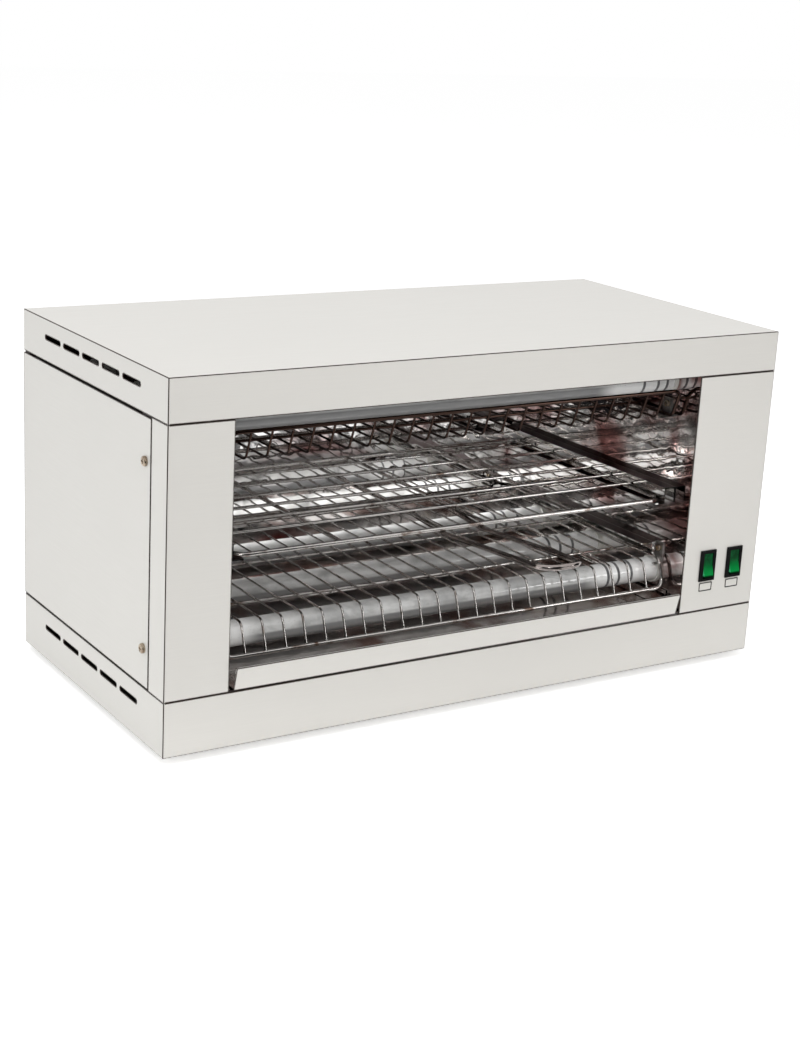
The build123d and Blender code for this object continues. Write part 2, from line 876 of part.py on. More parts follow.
def make_rack_rail(side, wall_x):
    """A rail folded as an inverted channel with an inner lip that the rack's side wire slides on."""
    y0 = front_y + rail_front_inset
    y1 = back_y - rail_back_gap
    web = wall_x - side * rail_width
    low = rail_top - rail_web_height - rail_sheet
    lip_top = rail_top - rail_web_height
    rail = between(wall_x, web, y0, y1, rail_top - rail_sheet, rail_top)
    rail += between(wall_x, wall_x - side * rail_sheet, y0, y1, low, rail_top)
    rail += between(web, web + side * rail_sheet, y0, y1, low, rail_top)
    rail += between(web + side * rail_sheet, web - side * rail_lip, y0, y1, low, lip_top)
    for y, z, is_rack_rail in rivet_places():
        if is_rack_rail:
            rail -= rivet_hole(wall_x, y, z)
    return rail


def make_lower_rail(side, wall_x):
    """An angle rail above the lower guard, for the rack's low place."""
    y0 = front_y + angle_front_inset
    y1 = back_y - angle_back_gap
    rail = between(wall_x, wall_x - side * angle_width, y0, y1, angle_top - rail_sheet, angle_top)
    rail += between(wall_x, wall_x - side * rail_sheet, y0, y1, angle_top - angle_leg, angle_top)
    for y, z, is_rack_rail in rivet_places():
        if not is_rack_rail:
            rail -= rivet_hole(wall_x, y, z)
    return rail


def rivet_places():
    """Depth and height of each rail rivet on one wall, and whether it holds the rack rail."""
    places = []
    for y in (front_y + rail_front_inset + rivet_inset, back_y - rail_back_gap - rivet_inset):
        places.append((y, rail_top - rack_rivet_drop, True))
    for y in (front_y + angle_front_inset + rivet_inset, back_y - angle_back_gap - rivet_inset):
        places.append((y, angle_top - rivet_drop, False))
    return places


def rivet_hole(wall_x, y, z):
    return rod_x(
        wall_x - rail_sheet - mirror_sheet, wall_x + rail_sheet + mirror_sheet, y, z,
        rivet_shank_radius + screw_hole_gap,
    )


def make_rail_rivets():
    """Rivets with a head on the rail and a tail outside the wall."""
    rivets = []
    for side, wall_x in sides:
        inner = wall_x - side * rail_sheet
        outer = wall_x + side * mirror_sheet
        for y, z, _ in rivet_places():
            rivet = rod_x(inner, outer, y, z, rivet_shank_radius)
            rivet += rod_x(inner, inner - side * rivet_head_height, y, z, rivet_head_radius)
            rivet += rod_x(outer, outer + side * rivet_head_height, y, z, rivet_head_radius)
            rivets.append(rivet)
    return group(rivets)


def make_wire_rack():
    """The welded rack: a frame wire, long wires on top and cross wires between front and back."""
    x0 = cavity_x - rack_half_width
    x1 = cavity_x + rack_half_width
    loop = [
        (x0, rack_back_y, rack_z), (x0, rack_front_y, rack_z),
        (x1, rack_front_y, rack_z), (x1, rack_back_y, rack_z),
    ]
    pieces = [wire_along(loop, rack_corner_radius, rack_frame_radius, close=True)]
    for i in range(rack_long_count):
        y = rack_back_y - rack_long_pitch * (i + 1)
        reach = rack_half_width + rack_frame_radius / 2
        pieces.append(rod_x(cavity_x - reach, cavity_x + reach, y, rack_long_z, rack_long_radius))
    cross_z = rack_long_z - rack_long_radius - rack_cross_radius + rack_weld
    for offset in (rack_cross_near, rack_cross_far):
        for x in (cavity_x - offset, cavity_x + offset):
            pieces.append(rod_y(x, rack_front_y, rack_back_y, cross_z, rack_cross_radius))
    return join(pieces)


def make_rack_handle():
    """One thick wire: two tails under the rack, a dip below its front wire and a rounded grip."""
    first_long_y = rack_back_y - rack_long_pitch * rack_long_count
    tail_y = first_long_y + handle_tail
    tail_z = rack_long_z - rack_long_radius - handle_radius + handle_weld
    dip_z = rack_z - rack_frame_radius - handle_radius + handle_weld
    grip_y = front_y - handle_reach
    grip_z = dip_z + handle_rise
    x0 = cavity_x - handle_half_gap
    x1 = cavity_x + handle_half_gap
    points = [
        (x0, tail_y, tail_z), (x0, first_long_y, tail_z), (x0, rack_front_y, dip_z), (x0, grip_y, grip_z),
        (x1, grip_y, grip_z), (x1, rack_front_y, dip_z), (x1, first_long_y, tail_z), (x1, tail_y, tail_z),
    ]
    bends = [
        handle_bend_radius, handle_bend_radius, handle_end_radius,
        handle_end_radius, handle_bend_radius, handle_bend_radius,
    ]
    return wire_along(points, bends, handle_radius)


def make_crumb_tray():
    """The tray: a floor, three low walls and a front lip that leans outwards, with a folded hem."""
    x0 = wall_left_x + tray_side_gap
    x1 = wall_right_x - tray_side_gap
    floor = deck_top + tray_lift
    top = floor + tray_wall_height
    y1 = back_y - tray_back_gap
    tray = between(x0, x1, front_y + lip_sheet, y1, floor, floor + tray_sheet)
    tray += between(x0, x1, y1 - tray_sheet, y1, floor, top)
    wall_start = front_y + guard_front_inset
    for edge, inward in ((x0, 1), (x1, -1)):
        tray += between(edge, edge + inward * tray_sheet, wall_start, y1, floor, top)
    lean = lip_lean / lip_height
    hem_low = lip_height - lip_hem
    outline = Polyline(
        (0, 0), (-lip_lean, lip_height), (lip_sheet - lip_lean + lip_sheet, lip_height),
        (2 * lip_sheet - lean * hem_low, hem_low), (lip_sheet - lean * hem_low, hem_low),
        (lip_sheet, tray_sheet), (lip_sheet, 0), (0, 0),
    )
    face = make_face(Plane(origin=(x0, front_y, floor), x_dir=(0, 1, 0), z_dir=(1, 0, 0)) * outline)
    return tray + extrude(face, x1 - x0, dir=(1, 0, 0))


def make_switch_housing(x):
    """A moulded switch body with its bezel, a pocket for the rocker and two pivot sockets."""
    half = switch_width / 2
    tall = switch_tall / 2
    bezel = between(
        x - half, x + half, front_y - switch_bezel, front_y, switch_height - tall, switch_height + tall
    )
    bezel = chamfer(bezel.faces().sort_by(Axis.Y)[0].edges(), bezel_chamfer)
    body_end = front_y + switch_body_depth
    body = between(
        x - switch_body_width / 2, x + switch_body_width / 2, front_y, body_end,
        switch_height - switch_body_tall / 2, switch_height + switch_body_tall / 2,
    )
    pocket_x = rocker_width / 2 + rocker_gap
    pocket_z = rocker_tall / 2 + rocker_swing_gap
    pocket = between(
        x - pocket_x, x + pocket_x,
        front_y - switch_bezel - cut_overrun, front_y + pocket_depth - switch_bezel,
        switch_height - pocket_z, switch_height + pocket_z,
    )
    socket_reach = pocket_x + rocker_pin_reach
    sockets = rod_x(
        x - socket_reach, x + socket_reach, rocker_axis_y(), switch_height,
        rocker_pin_radius + rocker_pin_gap,
    )
    housing = bezel + body - pocket - sockets
    for offset in (-1, 0, 1):
        z = switch_height + offset * blade_pitch
        housing -= between(
            x - blade_width / 2, x + blade_width / 2, body_end - blade_root, body_end,
            z - blade_thickness / 2, z + blade_thickness / 2,
        )
    return housing


def rocker_axis_y():
    return front_y - switch_bezel + rocker_depth / 2


def make_switch_rocker(x):
    """A rocker with a shallow crest, tilted to its off side, on two stub pins."""
    half = rocker_tall / 2
    back = rocker_depth
    outline = Polyline(
        (-rocker_rise, -half), (-rocker_rise + rocker_crest, 0), (-rocker_rise, half),
        (back - rocker_crest, half), (back, 0), (back - rocker_crest, -half), (-rocker_rise, -half),
    )
    corner = (x - rocker_width / 2, rocker_axis_y(), switch_height)
    plane = Plane(origin=corner, x_dir=(0, 1, 0), z_dir=(1, 0, 0))
    rocker = extrude(make_face(plane * outline), rocker_width, dir=(1, 0, 0))
    reach = rocker_width / 2 + rocker_gap + rocker_pin_reach - rocker_pin_gap
    rocker += rod_x(x - reach, x + reach, rocker_axis_y(), switch_height, rocker_pin_radius)
    axis = Axis((x, rocker_axis_y(), switch_height), (1, 0, 0))
    return rocker.rotate(axis, -rocker_tilt)


def make_switch_blades():
    blades = []
    body_end = front_y + switch_body_depth
    for x in switch_xs:
        for offset in (-1, 0, 1):
            z = switch_height + offset * blade_pitch
            blades.append(between(
                x - blade_width / 2, x + blade_width / 2, body_end - blade_root, body_end + blade_length,
                z - blade_thickness / 2, z + blade_thickness / 2,
            ))
    return group(blades)


def make_label_plates():
    plates = []
    for x in switch_xs:
        z = switch_height - label_drop
        plate = between(
            x - label_width / 2, x + label_width / 2, front_y - label_thickness, front_y,
            z - label_tall / 2, z + label_tall / 2,
        )
        plates.append(fillet(plate.edges().filter_by(Axis.Y), label_corner))
    return group(plates)


def gland_x():
    return right_x - gland_inset_x


def block_x():
    return right_x - block_inset_x


def earth_x():
    return right_x - earth_inset_x


def make_cable_gland():
    """A bored gland whose hexagon sits on the back panel."""
    hexagon = Pos(gland_x(), back_y + gland_hex_height / 2, gland_height) * Rot(90, 0, 0)
    gland = hexagon * hex_bar(gland_hex, gland_hex_height)
    cap_end_y = back_y + gland_hex_height + gland_cap_length
    nose = rod_y(gland_x(), back_y + gland_hex_height, cap_end_y, gland_height, gland_cap_radius)
    nose = fillet(nose.edges().group_by(Axis.Y)[-1], gland_cap_radius / 4)
    gland += nose
    gland += rod_y(gland_x(), back_y - gland_thread_length, back_y, gland_height, gland_thread_radius)
    return gland - rod_y(
        gland_x(), back_y - gland_thread_length - cut_overrun, cap_end_y + cut_overrun,
        gland_height, gland_bore_radius,
    )


def make_gland_nut():
    y = back_y - sheet - gland_nut_height / 2
    nut = Pos(gland_x(), y, gland_height) * Rot(90, 0, 0) * hex_bar(gland_hex, gland_nut_height)
    return nut - rod_y(
        gland_x(), y - gland_nut_height, y + gland_nut_height, gland_height,
        gland_thread_radius + gland_nut_gap,
    )


def make_terminal_block():
    """A ceramic terminal block on the base pan, with a way through for each wire."""
    x = block_x()
    block = between(
        x - block_length / 2, x + block_length / 2, block_y - block_width / 2, block_y + block_width / 2,
        sheet, sheet + block_height,
    )
    for x_pole in block_pole_xs():
        block -= rod_y(
            x_pole, block_y - block_width, block_y + block_width, block_wire_z(), block_hole_radius
        )
        block -= rod_z(x_pole, block_y, block_wire_z(), block_height * 2, block_hole_radius)
    return block


def block_pole_xs():
    pitch = block_length / block_pole_count
    return [block_x() + pitch * (i - (block_pole_count - 1) / 2) for i in range(block_pole_count)]


def block_wire_z():
    return sheet + block_height / 2


def make_earth_stud():
    """The earth stud through the base pan, with a nut clamped down on it."""
    stud = rod_z(earth_x(), earth_y, -screw_head_height, earth_stud_height, earth_stud_radius)
    stud += rod_z(earth_x(), earth_y, -screw_head_height, 0, screw_head_radius)
    nut = Pos(earth_x(), earth_y, sheet + nut_height / 2) * hex_bar(nut_width, nut_height)
    return stud + nut


def bus_face_x(side, wall_x):
    """Where a lead stops against the outer face of a busbar."""
    return wall_x + side * (cap_end + bus_thickness + wire_clear)


def make_supply_lead(x_switch, x_pole, back_y_blade):
    """A lead from the terminal block, along the base and up to a switch's lower blade."""
    turn_y = back_y_blade + wire_turn
    blade_z = switch_height - blade_pitch
    block_front = block_y - block_width / 2
    return wire_along(
        [
            (x_pole, block_front + wire_entry, block_wire_z()),
            (x_pole, block_front - wire_entry_run, block_wire_z()),
            (x_switch, turn_y, block_wire_z()),
            (x_switch, turn_y, blade_z),
            (x_switch, back_y_blade, blade_z),
        ],
        wire_bend, wire_radius,
    )


def make_load_lead(x_switch, back_y_blade, run_z, row_z):
    """A lead from a switch's upper blade to the right busbar of one row."""
    turn_y = back_y_blade + wire_turn
    blade_z = switch_height + blade_pitch
    bus_y = tube_ys[0] + tube_pitch / 2
    stop_x = bus_face_x(1, wall_right_x)
    return wire_along(
        [
            (x_switch, back_y_blade, blade_z),
            (x_switch, turn_y, blade_z),
            (x_switch, turn_y, run_z),
            (stop_x + wire_reach * 2, bus_y, run_z),
            (stop_x + wire_reach * 2, bus_y, row_z),
            (stop_x, bus_y, row_z),
        ],
        wire_bend, wire_radius,
    )


def make_internal_wires():
    """Insulated leads: supply to each switch, each switch to its row, and the way back."""
    blade_y = front_y + switch_body_depth + blade_length + wire_clear
    poles = block_pole_xs()
    wires = [
        make_supply_lead(switch_xs[0], poles[0], blade_y),
        make_supply_lead(switch_xs[1], poles[-1], blade_y),
        make_load_lead(switch_xs[0], blade_y, wire_low_run, lower_tube_height),
        make_load_lead(switch_xs[1], blade_y, wire_high_run, upper_tube_height),
    ]
    stop_x = bus_face_x(-1, wall_left_x)
    link_y = tube_ys[1] + tube_pitch / 2
    wires.append(wire_along(
        [
            (stop_x, link_y, upper_tube_height),
            (stop_x - wire_reach, link_y, upper_tube_height),
            (stop_x - wire_reach, link_y, lower_tube_height),
            (stop_x, link_y, lower_tube_height),
        ],
        wire_bend, wire_radius,
    ))
    low_z = sheet + wire_clear + wire_radius
    return_y = tube_ys[0] + tube_pitch / 2
    return_x = poles[len(poles) // 2]
    block_front = block_y - block_width / 2
    wires.append(wire_along(
        [
            (stop_x, return_y, lower_tube_height),
            (stop_x - wire_reach, return_y, lower_tube_height),
            (stop_x - wire_reach, return_y, low_z),
            (return_x, return_y, low_z),
            (return_x, block_front - wire_climb * 2, low_z),
            (return_x, block_front - wire_climb, block_wire_z()),
            (return_x, block_front + wire_entry, block_wire_z()),
        ],
        wire_bend, wire_radius,
    ))
    return group(wires)


# Writing each node
save(make_base_pan(), "base_pan")
save(make_top_cover(), "top_cover")
save(make_left_upright(), "left_front_upright")
save(make_right_upright(), "right_front_upright")
save(make_side_panel(-1), "left_side_panel")
save(make_side_panel(1), "right_side_panel")
save(make_back_panel(), "back_panel")
save(make_mirror_wall(-1, wall_left_x), "left_mirror_wall")
save(make_mirror_wall(1, wall_right_x), "right_mirror_wall")
save(make_mirror_back_wall(), "mirror_back_wall")
save(make_mirror_ceiling(), "mirror_ceiling")
save(make_tray_deck(), "tray_deck")
save(make_side_screws(), "side_panel_screws")
save(make_rear_screws(), "rear_screws")
save(make_feet(), "rubber_feet")
save(make_foot_screws(), "foot_screws")
for tube_name, tube_y, tube_z in tube_places():
    save(make_quartz_tube(tube_y, tube_z), f"{tube_name}_quartz_tube")
    save(make_heating_coil(tube_y, tube_z), f"{tube_name}_heating_coil")
save(make_ceramic_caps(lower_tube_height), "lower_ceramic_caps")
save(make_ceramic_caps(upper_tube_height), "upper_ceramic_caps")
save(make_terminal_studs(), "terminal_studs")
save(make_terminal_nuts(), "terminal_nuts")
save(group(make_busbar(*side, z) for side in sides for z in row_heights), "busbars")
save(group(make_tube_retainer(*side, z) for side in sides for z in row_heights), "tube_retainers")
for side_name, (side_sign, side_wall_x) in zip(("left", "right"), sides):
    save(make_rack_rail(side_sign, side_wall_x), f"{side_name}_rack_rail")
    save(make_lower_rail(side_sign, side_wall_x), f"{side_name}_lower_rail")
save(make_rail_rivets(), "rail_rivets")
save(make_guard(lower_guard_height, -1), "lower_guard")
save(make_guard(upper_guard_height, 1), "upper_guard")
save(make_lower_clips(), "lower_guard_clips")
save(make_upper_clips(), "upper_guard_clips")
save(make_clip_screws(), "guard_clip_screws")
save(make_wire_rack(), "wire_rack")
save(make_rack_handle(), "rack_handle")
save(make_crumb_tray(), "crumb_tray")
for switch_name, switch_x in zip(("left", "right"), switch_xs):
    save(make_switch_housing(switch_x), f"{switch_name}_switch_housing")
    save(make_switch_rocker(switch_x), f"{switch_name}_switch_rocker")
save(make_switch_blades(), "switch_blades")
save(make_label_plates(), "switch_label_plates")
save(make_cable_gland(), "cable_gland")
save(make_gland_nut(), "gland_lock_nut")
save(make_terminal_block(), "terminal_block")
save(make_earth_stud(), "earth_stud")
save(make_internal_wires(), "internal_wires")
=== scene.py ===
"""Looks of a countertop quartz toaster: casing, mirror lining, wirework, tubes, switches and stage."""

import math

import bmesh
import bpy
from bpy.props import FloatProperty, FloatVectorProperty, PointerProperty
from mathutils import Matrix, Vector


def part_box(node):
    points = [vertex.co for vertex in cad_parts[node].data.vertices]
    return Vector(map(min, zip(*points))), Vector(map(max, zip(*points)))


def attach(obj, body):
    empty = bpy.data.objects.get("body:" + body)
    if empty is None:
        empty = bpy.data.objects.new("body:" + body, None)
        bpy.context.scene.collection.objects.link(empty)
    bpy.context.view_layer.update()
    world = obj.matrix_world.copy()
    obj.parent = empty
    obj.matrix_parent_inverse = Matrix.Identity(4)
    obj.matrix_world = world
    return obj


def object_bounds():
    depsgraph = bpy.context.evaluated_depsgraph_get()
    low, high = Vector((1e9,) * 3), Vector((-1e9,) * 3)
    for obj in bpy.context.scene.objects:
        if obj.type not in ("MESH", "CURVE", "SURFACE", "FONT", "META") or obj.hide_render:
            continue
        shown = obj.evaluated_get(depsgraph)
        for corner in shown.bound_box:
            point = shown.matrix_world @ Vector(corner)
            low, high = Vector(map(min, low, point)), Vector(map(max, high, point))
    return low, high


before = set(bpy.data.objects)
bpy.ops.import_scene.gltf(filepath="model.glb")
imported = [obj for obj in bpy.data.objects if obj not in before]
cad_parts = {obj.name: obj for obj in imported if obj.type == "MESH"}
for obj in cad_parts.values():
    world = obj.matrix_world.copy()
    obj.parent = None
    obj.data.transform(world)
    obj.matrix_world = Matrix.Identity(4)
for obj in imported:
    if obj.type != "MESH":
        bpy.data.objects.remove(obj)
CAD_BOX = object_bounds()

bl_info = {
    "name": "Countertop quartz toaster",
    "version": (1, 0, 0),
    "blender": (4, 5, 0),
    "location": "View3D > Sidebar > Toaster",
    "description": "Finishes, small details and studio stage of a countertop toaster",
    "category": "Object",
}

NUMBER = "NodeSocketFloat"
STRETCH = ("Stretch", "NodeSocketVector", (1.0, 1.0, 1.0))
WHITE = (1.0, 1.0, 1.0)
BLACK = (0.0, 0.0, 0.0)
QUARTER_TURN = math.radians(90)
# Most of a pattern's heights lie between these two.
PATTERN_LOW = 0.3
PATTERN_HIGH = 0.7

LONG_PANELS = ("base_pan", "top_cover", "left_front_upright", "right_front_upright", "back_panel")
SIDE_PANELS = ("left_side_panel", "right_side_panel")
CASING_PANELS = LONG_PANELS + SIDE_PANELS
MIRROR_LINING = ("left_mirror_wall", "right_mirror_wall", "mirror_back_wall", "mirror_ceiling", "tray_deck")
RACK_RAILS = ("left_rack_rail", "right_rack_rail", "left_lower_rail", "right_lower_rail")
THIN_WIREWORK = ("lower_guard", "upper_guard", "wire_rack")
HANDLE_WIRE = ("rack_handle",)
TUBE_ROWS = ("lower", "upper")
TUBES_IN_ROW = ("front", "middle", "rear")
TUBE_PLACES = tuple(f"{row}_{place}" for row in TUBE_ROWS for place in TUBES_IN_ROW)
CERAMICS = ("lower_ceramic_caps", "upper_ceramic_caps", "terminal_block")
SCREWS = ("side_panel_screws", "rear_screws", "foot_screws", "terminal_studs", "guard_clip_screws")
BRASS_FITTINGS = ("terminal_nuts", "busbars", "switch_blades", "earth_stud")
BRACKETS = ("tube_retainers", "rail_rivets", "lower_guard_clips", "upper_guard_clips")
BLACK_MOULDINGS = ("left_switch_housing", "right_switch_housing", "cable_gland", "gland_lock_nut")
ROCKERS = ("left_switch_rocker", "right_switch_rocker")


def colour_setting(name, description, default):
    """A colour that the user picks, with its default."""
    return FloatVectorProperty(
        name=name, description=description, default=default, subtype="COLOR", size=3, min=0.0, max=1.0
    )


def share_setting(name, description, default):
    """A number from 0 to 1 that the user picks."""
    return FloatProperty(
        name=name, description=description, default=default, min=0.0, max=1.0, subtype="FACTOR"
    )


def length_setting(name, description, default):
    """A length in metres that the user picks."""
    return FloatProperty(
        name=name, description=description, default=default, min=0.0, unit="LENGTH", precision=5
    )


def place_setting(name, description, default):
    """A place along the object's width, in metres, that the user picks."""
    return FloatProperty(name=name, description=description, default=default, unit="LENGTH")


def power_setting(name, description, default):
    """A lamp's power in watts that the user picks."""
    return FloatProperty(name=name, description=description, default=default, min=0.0, unit="POWER")


class CasingFinish(bpy.types.PropertyGroup):
    """Colours and roughness of the outside sheet steel"""

    steel: colour_setting("Steel", "Colour of the satin casing sheet", (0.706, 0.690, 0.655))
    steel_shade: colour_setting("Steel shade", "Colour of the faint cloudy patches", (0.694, 0.678, 0.644))
    # Painted shade: a dark line along folds and cut edges stands in for the shade in the seams between
    # panels.
    seam_shade: colour_setting("Cut edge", "Colour of the sheared and folded edges", (0.030, 0.016, 0.011))
    roughness: share_setting("Roughness", "Roughness of the satin finish", 0.42)
    metal: share_setting("Metal", "How much the sheet reflects as metal", 0.16)
    # Painted shade: the inner faces are darkened so that seams and slots look dark.
    inner_painted_shade: colour_setting("Inner steel", "Colour of the sheet's inner faces", (0.040, 0.038, 0.036))
    skin: length_setting("Skin", "How deep below the outer faces the satin finish ends", 0.0004)
    fold_width: length_setting("Fold width", "Width of the dark line on each side of a fold", 0.0007)
    edge_width: length_setting("Edge width", "Width of the darker line along an edge", 0.0012)


class LiningFinish(bpy.types.PropertyGroup):
    """Finish of the polished lining of the toasting space and of its rails"""

    mirror: colour_setting("Mirror", "Colour of the polished lining", (0.88, 0.87, 0.86))
    heat_tint: colour_setting("Heat tint", "Colour of the heat stained patches", (0.20, 0.055, 0.046))
    browned_top: colour_setting("Browned top", "Colour of the rails' browned tops", (0.050, 0.018, 0.016))
    soot: colour_setting("Soot", "Colour of the dull, smoked patches", (0.22, 0.215, 0.21))
    roughness: share_setting("Roughness", "Roughness of the polished sheet", 0.015)
    ripple: share_setting("Ripple", "Strength of the slow waves in the thin sheet", 0.8)


class WireFinish(bpy.types.PropertyGroup):
    """Finish of the plated wire guards, rack and handle"""

    plating: colour_setting("Plating", "Colour of the plated wire", (0.54, 0.52, 0.50))
    handle: colour_setting("Handle", "Colour of the rack's thick handle wire", (0.34, 0.30, 0.285))
    baked: colour_setting("Baked on", "Colour of the baked on stains", (0.13, 0.075, 0.05))
    scorched: colour_setting("Scorched", "Colour of the wires under the upper tubes", (0.060, 0.036, 0.028))
    roughness: share_setting("Roughness", "Roughness of the plating", 0.04)


class TubeFinish(bpy.types.PropertyGroup):
    """Finish of the quartz heating tubes and their ceramic ends"""

    quartz: colour_setting("Quartz", "Colour of the milky quartz", (0.58, 0.58, 0.57))
    # Painted shade: the underside of each tube is painted greyer, as if it were in shade.
    quartz_painted_shade: colour_setting("Quartz shade", "Colour of a tube's greyer underside", (0.23, 0.23, 0.23))
    # Partly the clear quartz at a tube's ends and partly a painted highlight, near white.
    quartz_clear_end_highlight: colour_setting("Quartz end", "Colour of the clearer ends of a tube", (0.86, 0.86, 0.85))
    clear_left: place_setting("Left end", "Where the clearer left end starts", -0.168)
    clear_right: place_setting("Right end", "Where the clearer right end starts", 0.112)
    ceramic: colour_setting("Ceramic", "Colour of the ceramic end caps", (0.80, 0.785, 0.74))
    band: colour_setting("End bands", "Colour of the dark bands at the tube ends", (0.14, 0.14, 0.145))
    band_width: length_setting("Band width", "Width of one band at a tube end", 0.0022)
    band_rise: length_setting("Band rise", "How far a band stands off the tube", 0.00025)


class SwitchFinish(bpy.types.PropertyGroup):
    """Finish of the two rocker switches and the bare plates under them"""

    rocker_dark: colour_setting("Rocker, dark part", "Colour of its upper part", (0.002, 0.040, 0.011))
    # Painted light: the clear lower part is painted lighter as lit, and the side colour is a painted
    # highlight.
    rocker_lit: colour_setting("Rocker, clear part", "Colour of its lower part", (0.003, 0.230, 0.045))
    rocker_flank_highlight: colour_setting("Rocker, side", "Colour of the light in its side", (0.10, 0.62, 0.30))
    moulding: colour_setting("Moulding", "Colour of the black mouldings", (0.004, 0.004, 0.0042))
    plate: colour_setting("Plate", "Colour of the bare plate under a switch", (0.70, 0.685, 0.645))
    plate_line: colour_setting("Plate line", "Colour of the line round the plate", (0.016, 0.015, 0.015))
    line_width: length_setting("Line width", "Width of the line round the plate", 0.0008)
    line_inset: length_setting("Line inset", "Gap from the plate's edge to its line", 0.0002)


class StageLook(bpy.types.PropertyGroup):
    """Floor, lamps and camera of the studio"""

    backdrop: colour_setting("Backdrop", "Colour of the backdrop", WHITE)
    floor: colour_setting("Floor", "Colour of the floor", (0.92, 0.92, 0.92))
    dark_card: colour_setting("Dark card", "Colour of the dark cards in reflections", (0.010, 0.010, 0.011))
    bright_card: FloatProperty(
        name="Bright cards", description="Strength of the pale cards in reflections", default=1.3, min=0.0
    )
    room_light: share_setting("Room light", "Strength of the even light of the room", 0.62)
    top_lamp: power_setting("Top lamp", "Power of the lamp above", 11.0)
    front_lamp: power_setting("Front lamp", "Power of the lamp beside the camera", 7.5)
    side_lamp: power_setting("Side lamp", "Power of the lamp at the left", 2.65)
    cavity_lamp: power_setting("Cavity lamp", "Power of the light that the back wall throws forward", 0.35)
    glint_lamp: power_setting("Glint lamps", "Power of the narrow lamps that bright metal shows", 3.0)
    camera_place: FloatVectorProperty(
        name="Camera place", description="Where the camera stands", default=(-0.66293, -1.03122, 0.45195),
        size=3, subtype="TRANSLATION", unit="LENGTH",
    )
    camera_turn: FloatVectorProperty(
        name="Camera turn", description="How the camera is turned",
        default=tuple(math.radians(angle) for angle in (73.5286, -2.9068, -31.8855)),
        size=3, subtype="EULER", unit="ROTATION",
    )
    camera_lens: FloatProperty(name="Lens", description="Focal length in mm", default=65.35, min=1.0)


# Node trees


def add_node(tree, kind, **inputs):
    """Adds one node; each keyword is the default of the input of that name."""
    made = tree.nodes.new(kind)
    for name, value in inputs.items():
        made.inputs[name].default_value = value
    return made


def put(tree, socket, value):
    """Joins a socket to another one, or sets its default."""
    if isinstance(value, bpy.types.NodeSocket):
        tree.links.new(value, socket)
    else:
        socket.default_value = value


def add_math(tree, operation, first, second):
    """Adds a Math node whose inputs are numbers or other sockets."""
    made = tree.nodes.new("ShaderNodeMath")
    made.operation = operation
    put(tree, made.inputs[0], first)
    put(tree, made.inputs[1], second)
    return made.outputs[0]


def spread(tree, value, low, high, to_low=0.0, to_high=1.0):
    """Adds a smooth Map Range from low..high to to_low..to_high."""
    made = tree.nodes.new("ShaderNodeMapRange")
    made.interpolation_type = "SMOOTHSTEP"
    put(tree, made.inputs["Value"], value)
    for name, number in (("From Min", low), ("From Max", high), ("To Min", to_low), ("To Max", to_high)):
        put(tree, made.inputs[name], number)
    return made.outputs["Result"]


def between(tree, mask, first, second):
    """Adds a number that goes from the first to the second with the mask."""
    return spread(tree, mask, 0.0, 1.0, first, second)


def with_height(tree, pattern, first, second):
    """Adds a number that goes from the first to the second with a pattern's height."""
    return spread(tree, pattern["Height"], PATTERN_LOW, PATTERN_HIGH, first, second)


def blend_colours(tree, mask, first, second):
    """Adds a colour mix that goes from the first to the second with the mask."""
    made = tree.nodes.new("ShaderNodeMix")
    made.data_type = "RGBA"
    factor, first_colour, second_colour = made.inputs[0], made.inputs[6], made.inputs[7]
    put(tree, factor, mask)
    for socket, value in ((first_colour, first), (second_colour, second)):
        put(tree, socket, value if isinstance(value, bpy.types.NodeSocket) else (*value, 1.0))
    return made.outputs[2]


def split_axes(tree, kind, output):
    """The X, Y and Z of one output of a new node of that kind."""
    source = tree.nodes.new(kind)
    apart = tree.nodes.new("ShaderNodeSeparateXYZ")
    tree.links.new(source.outputs[output], apart.inputs["Vector"])
    return apart.outputs


def place_axes(tree):
    """Where a point of the piece is, with the piece at rest."""
    return split_axes(tree, "ShaderNodeTexCoord", "Object")


def facing_axes(tree):
    """Which way the surface faces at a point."""
    return split_axes(tree, "ShaderNodeNewGeometry", "Normal")


def any_ray(tree, first, *others):
    """1 for a ray of one of the kinds named, and 0 for any other ray."""
    rays = tree.nodes.new("ShaderNodeLightPath")
    mask = rays.outputs[first]
    for kind in others:
        mask = add_math(tree, "MAXIMUM", mask, rays.outputs[kind])
    return mask


def start_group(name, inputs, outputs):
    """Starts a shader node group with named inputs and outputs, and returns it with its two end nodes."""
    group = bpy.data.node_groups.new(name, "ShaderNodeTree")
    for title, kind, default in inputs:
        socket = group.interface.new_socket(title, in_out="INPUT", socket_type=kind)
        socket.default_value = default
    for title, kind in outputs:
        group.interface.new_socket(title, in_out="OUTPUT", socket_type=kind)
    return group, group.nodes.new("NodeGroupInput"), group.nodes.new("NodeGroupOutput")


def stretched_place(group, start):
    """Object coordinates multiplied by the group's Stretch."""
    place = group.nodes.new("ShaderNodeTexCoord")
    stretch = group.nodes.new("ShaderNodeVectorMath")
    stretch.operation = "MULTIPLY"
    group.links.new(place.outputs["Object"], stretch.inputs[0])
    group.links.new(start.outputs["Stretch"], stretch.inputs[1])
    return stretch.outputs["Vector"]


def make_grain():
    """Fine directional grain: a height for Bump and a tone."""
    group, start, end = start_group(
        "Rolled grain",
        (STRETCH, ("Fineness", NUMBER, 1000.0)),
        (("Height", NUMBER), ("Tone", NUMBER)),
    )
    fine = add_node(group, "ShaderNodeTexNoise", Detail=3.0, Roughness=0.6)
    group.links.new(stretched_place(group, start), fine.inputs["Vector"])
    group.links.new(start.outputs["Fineness"], fine.inputs["Scale"])
    group.links.new(fine.outputs["Fac"], end.inputs["Height"])
    group.links.new(spread(group, fine.outputs["Fac"], PATTERN_LOW, PATTERN_HIGH), end.inputs["Tone"])
    return group


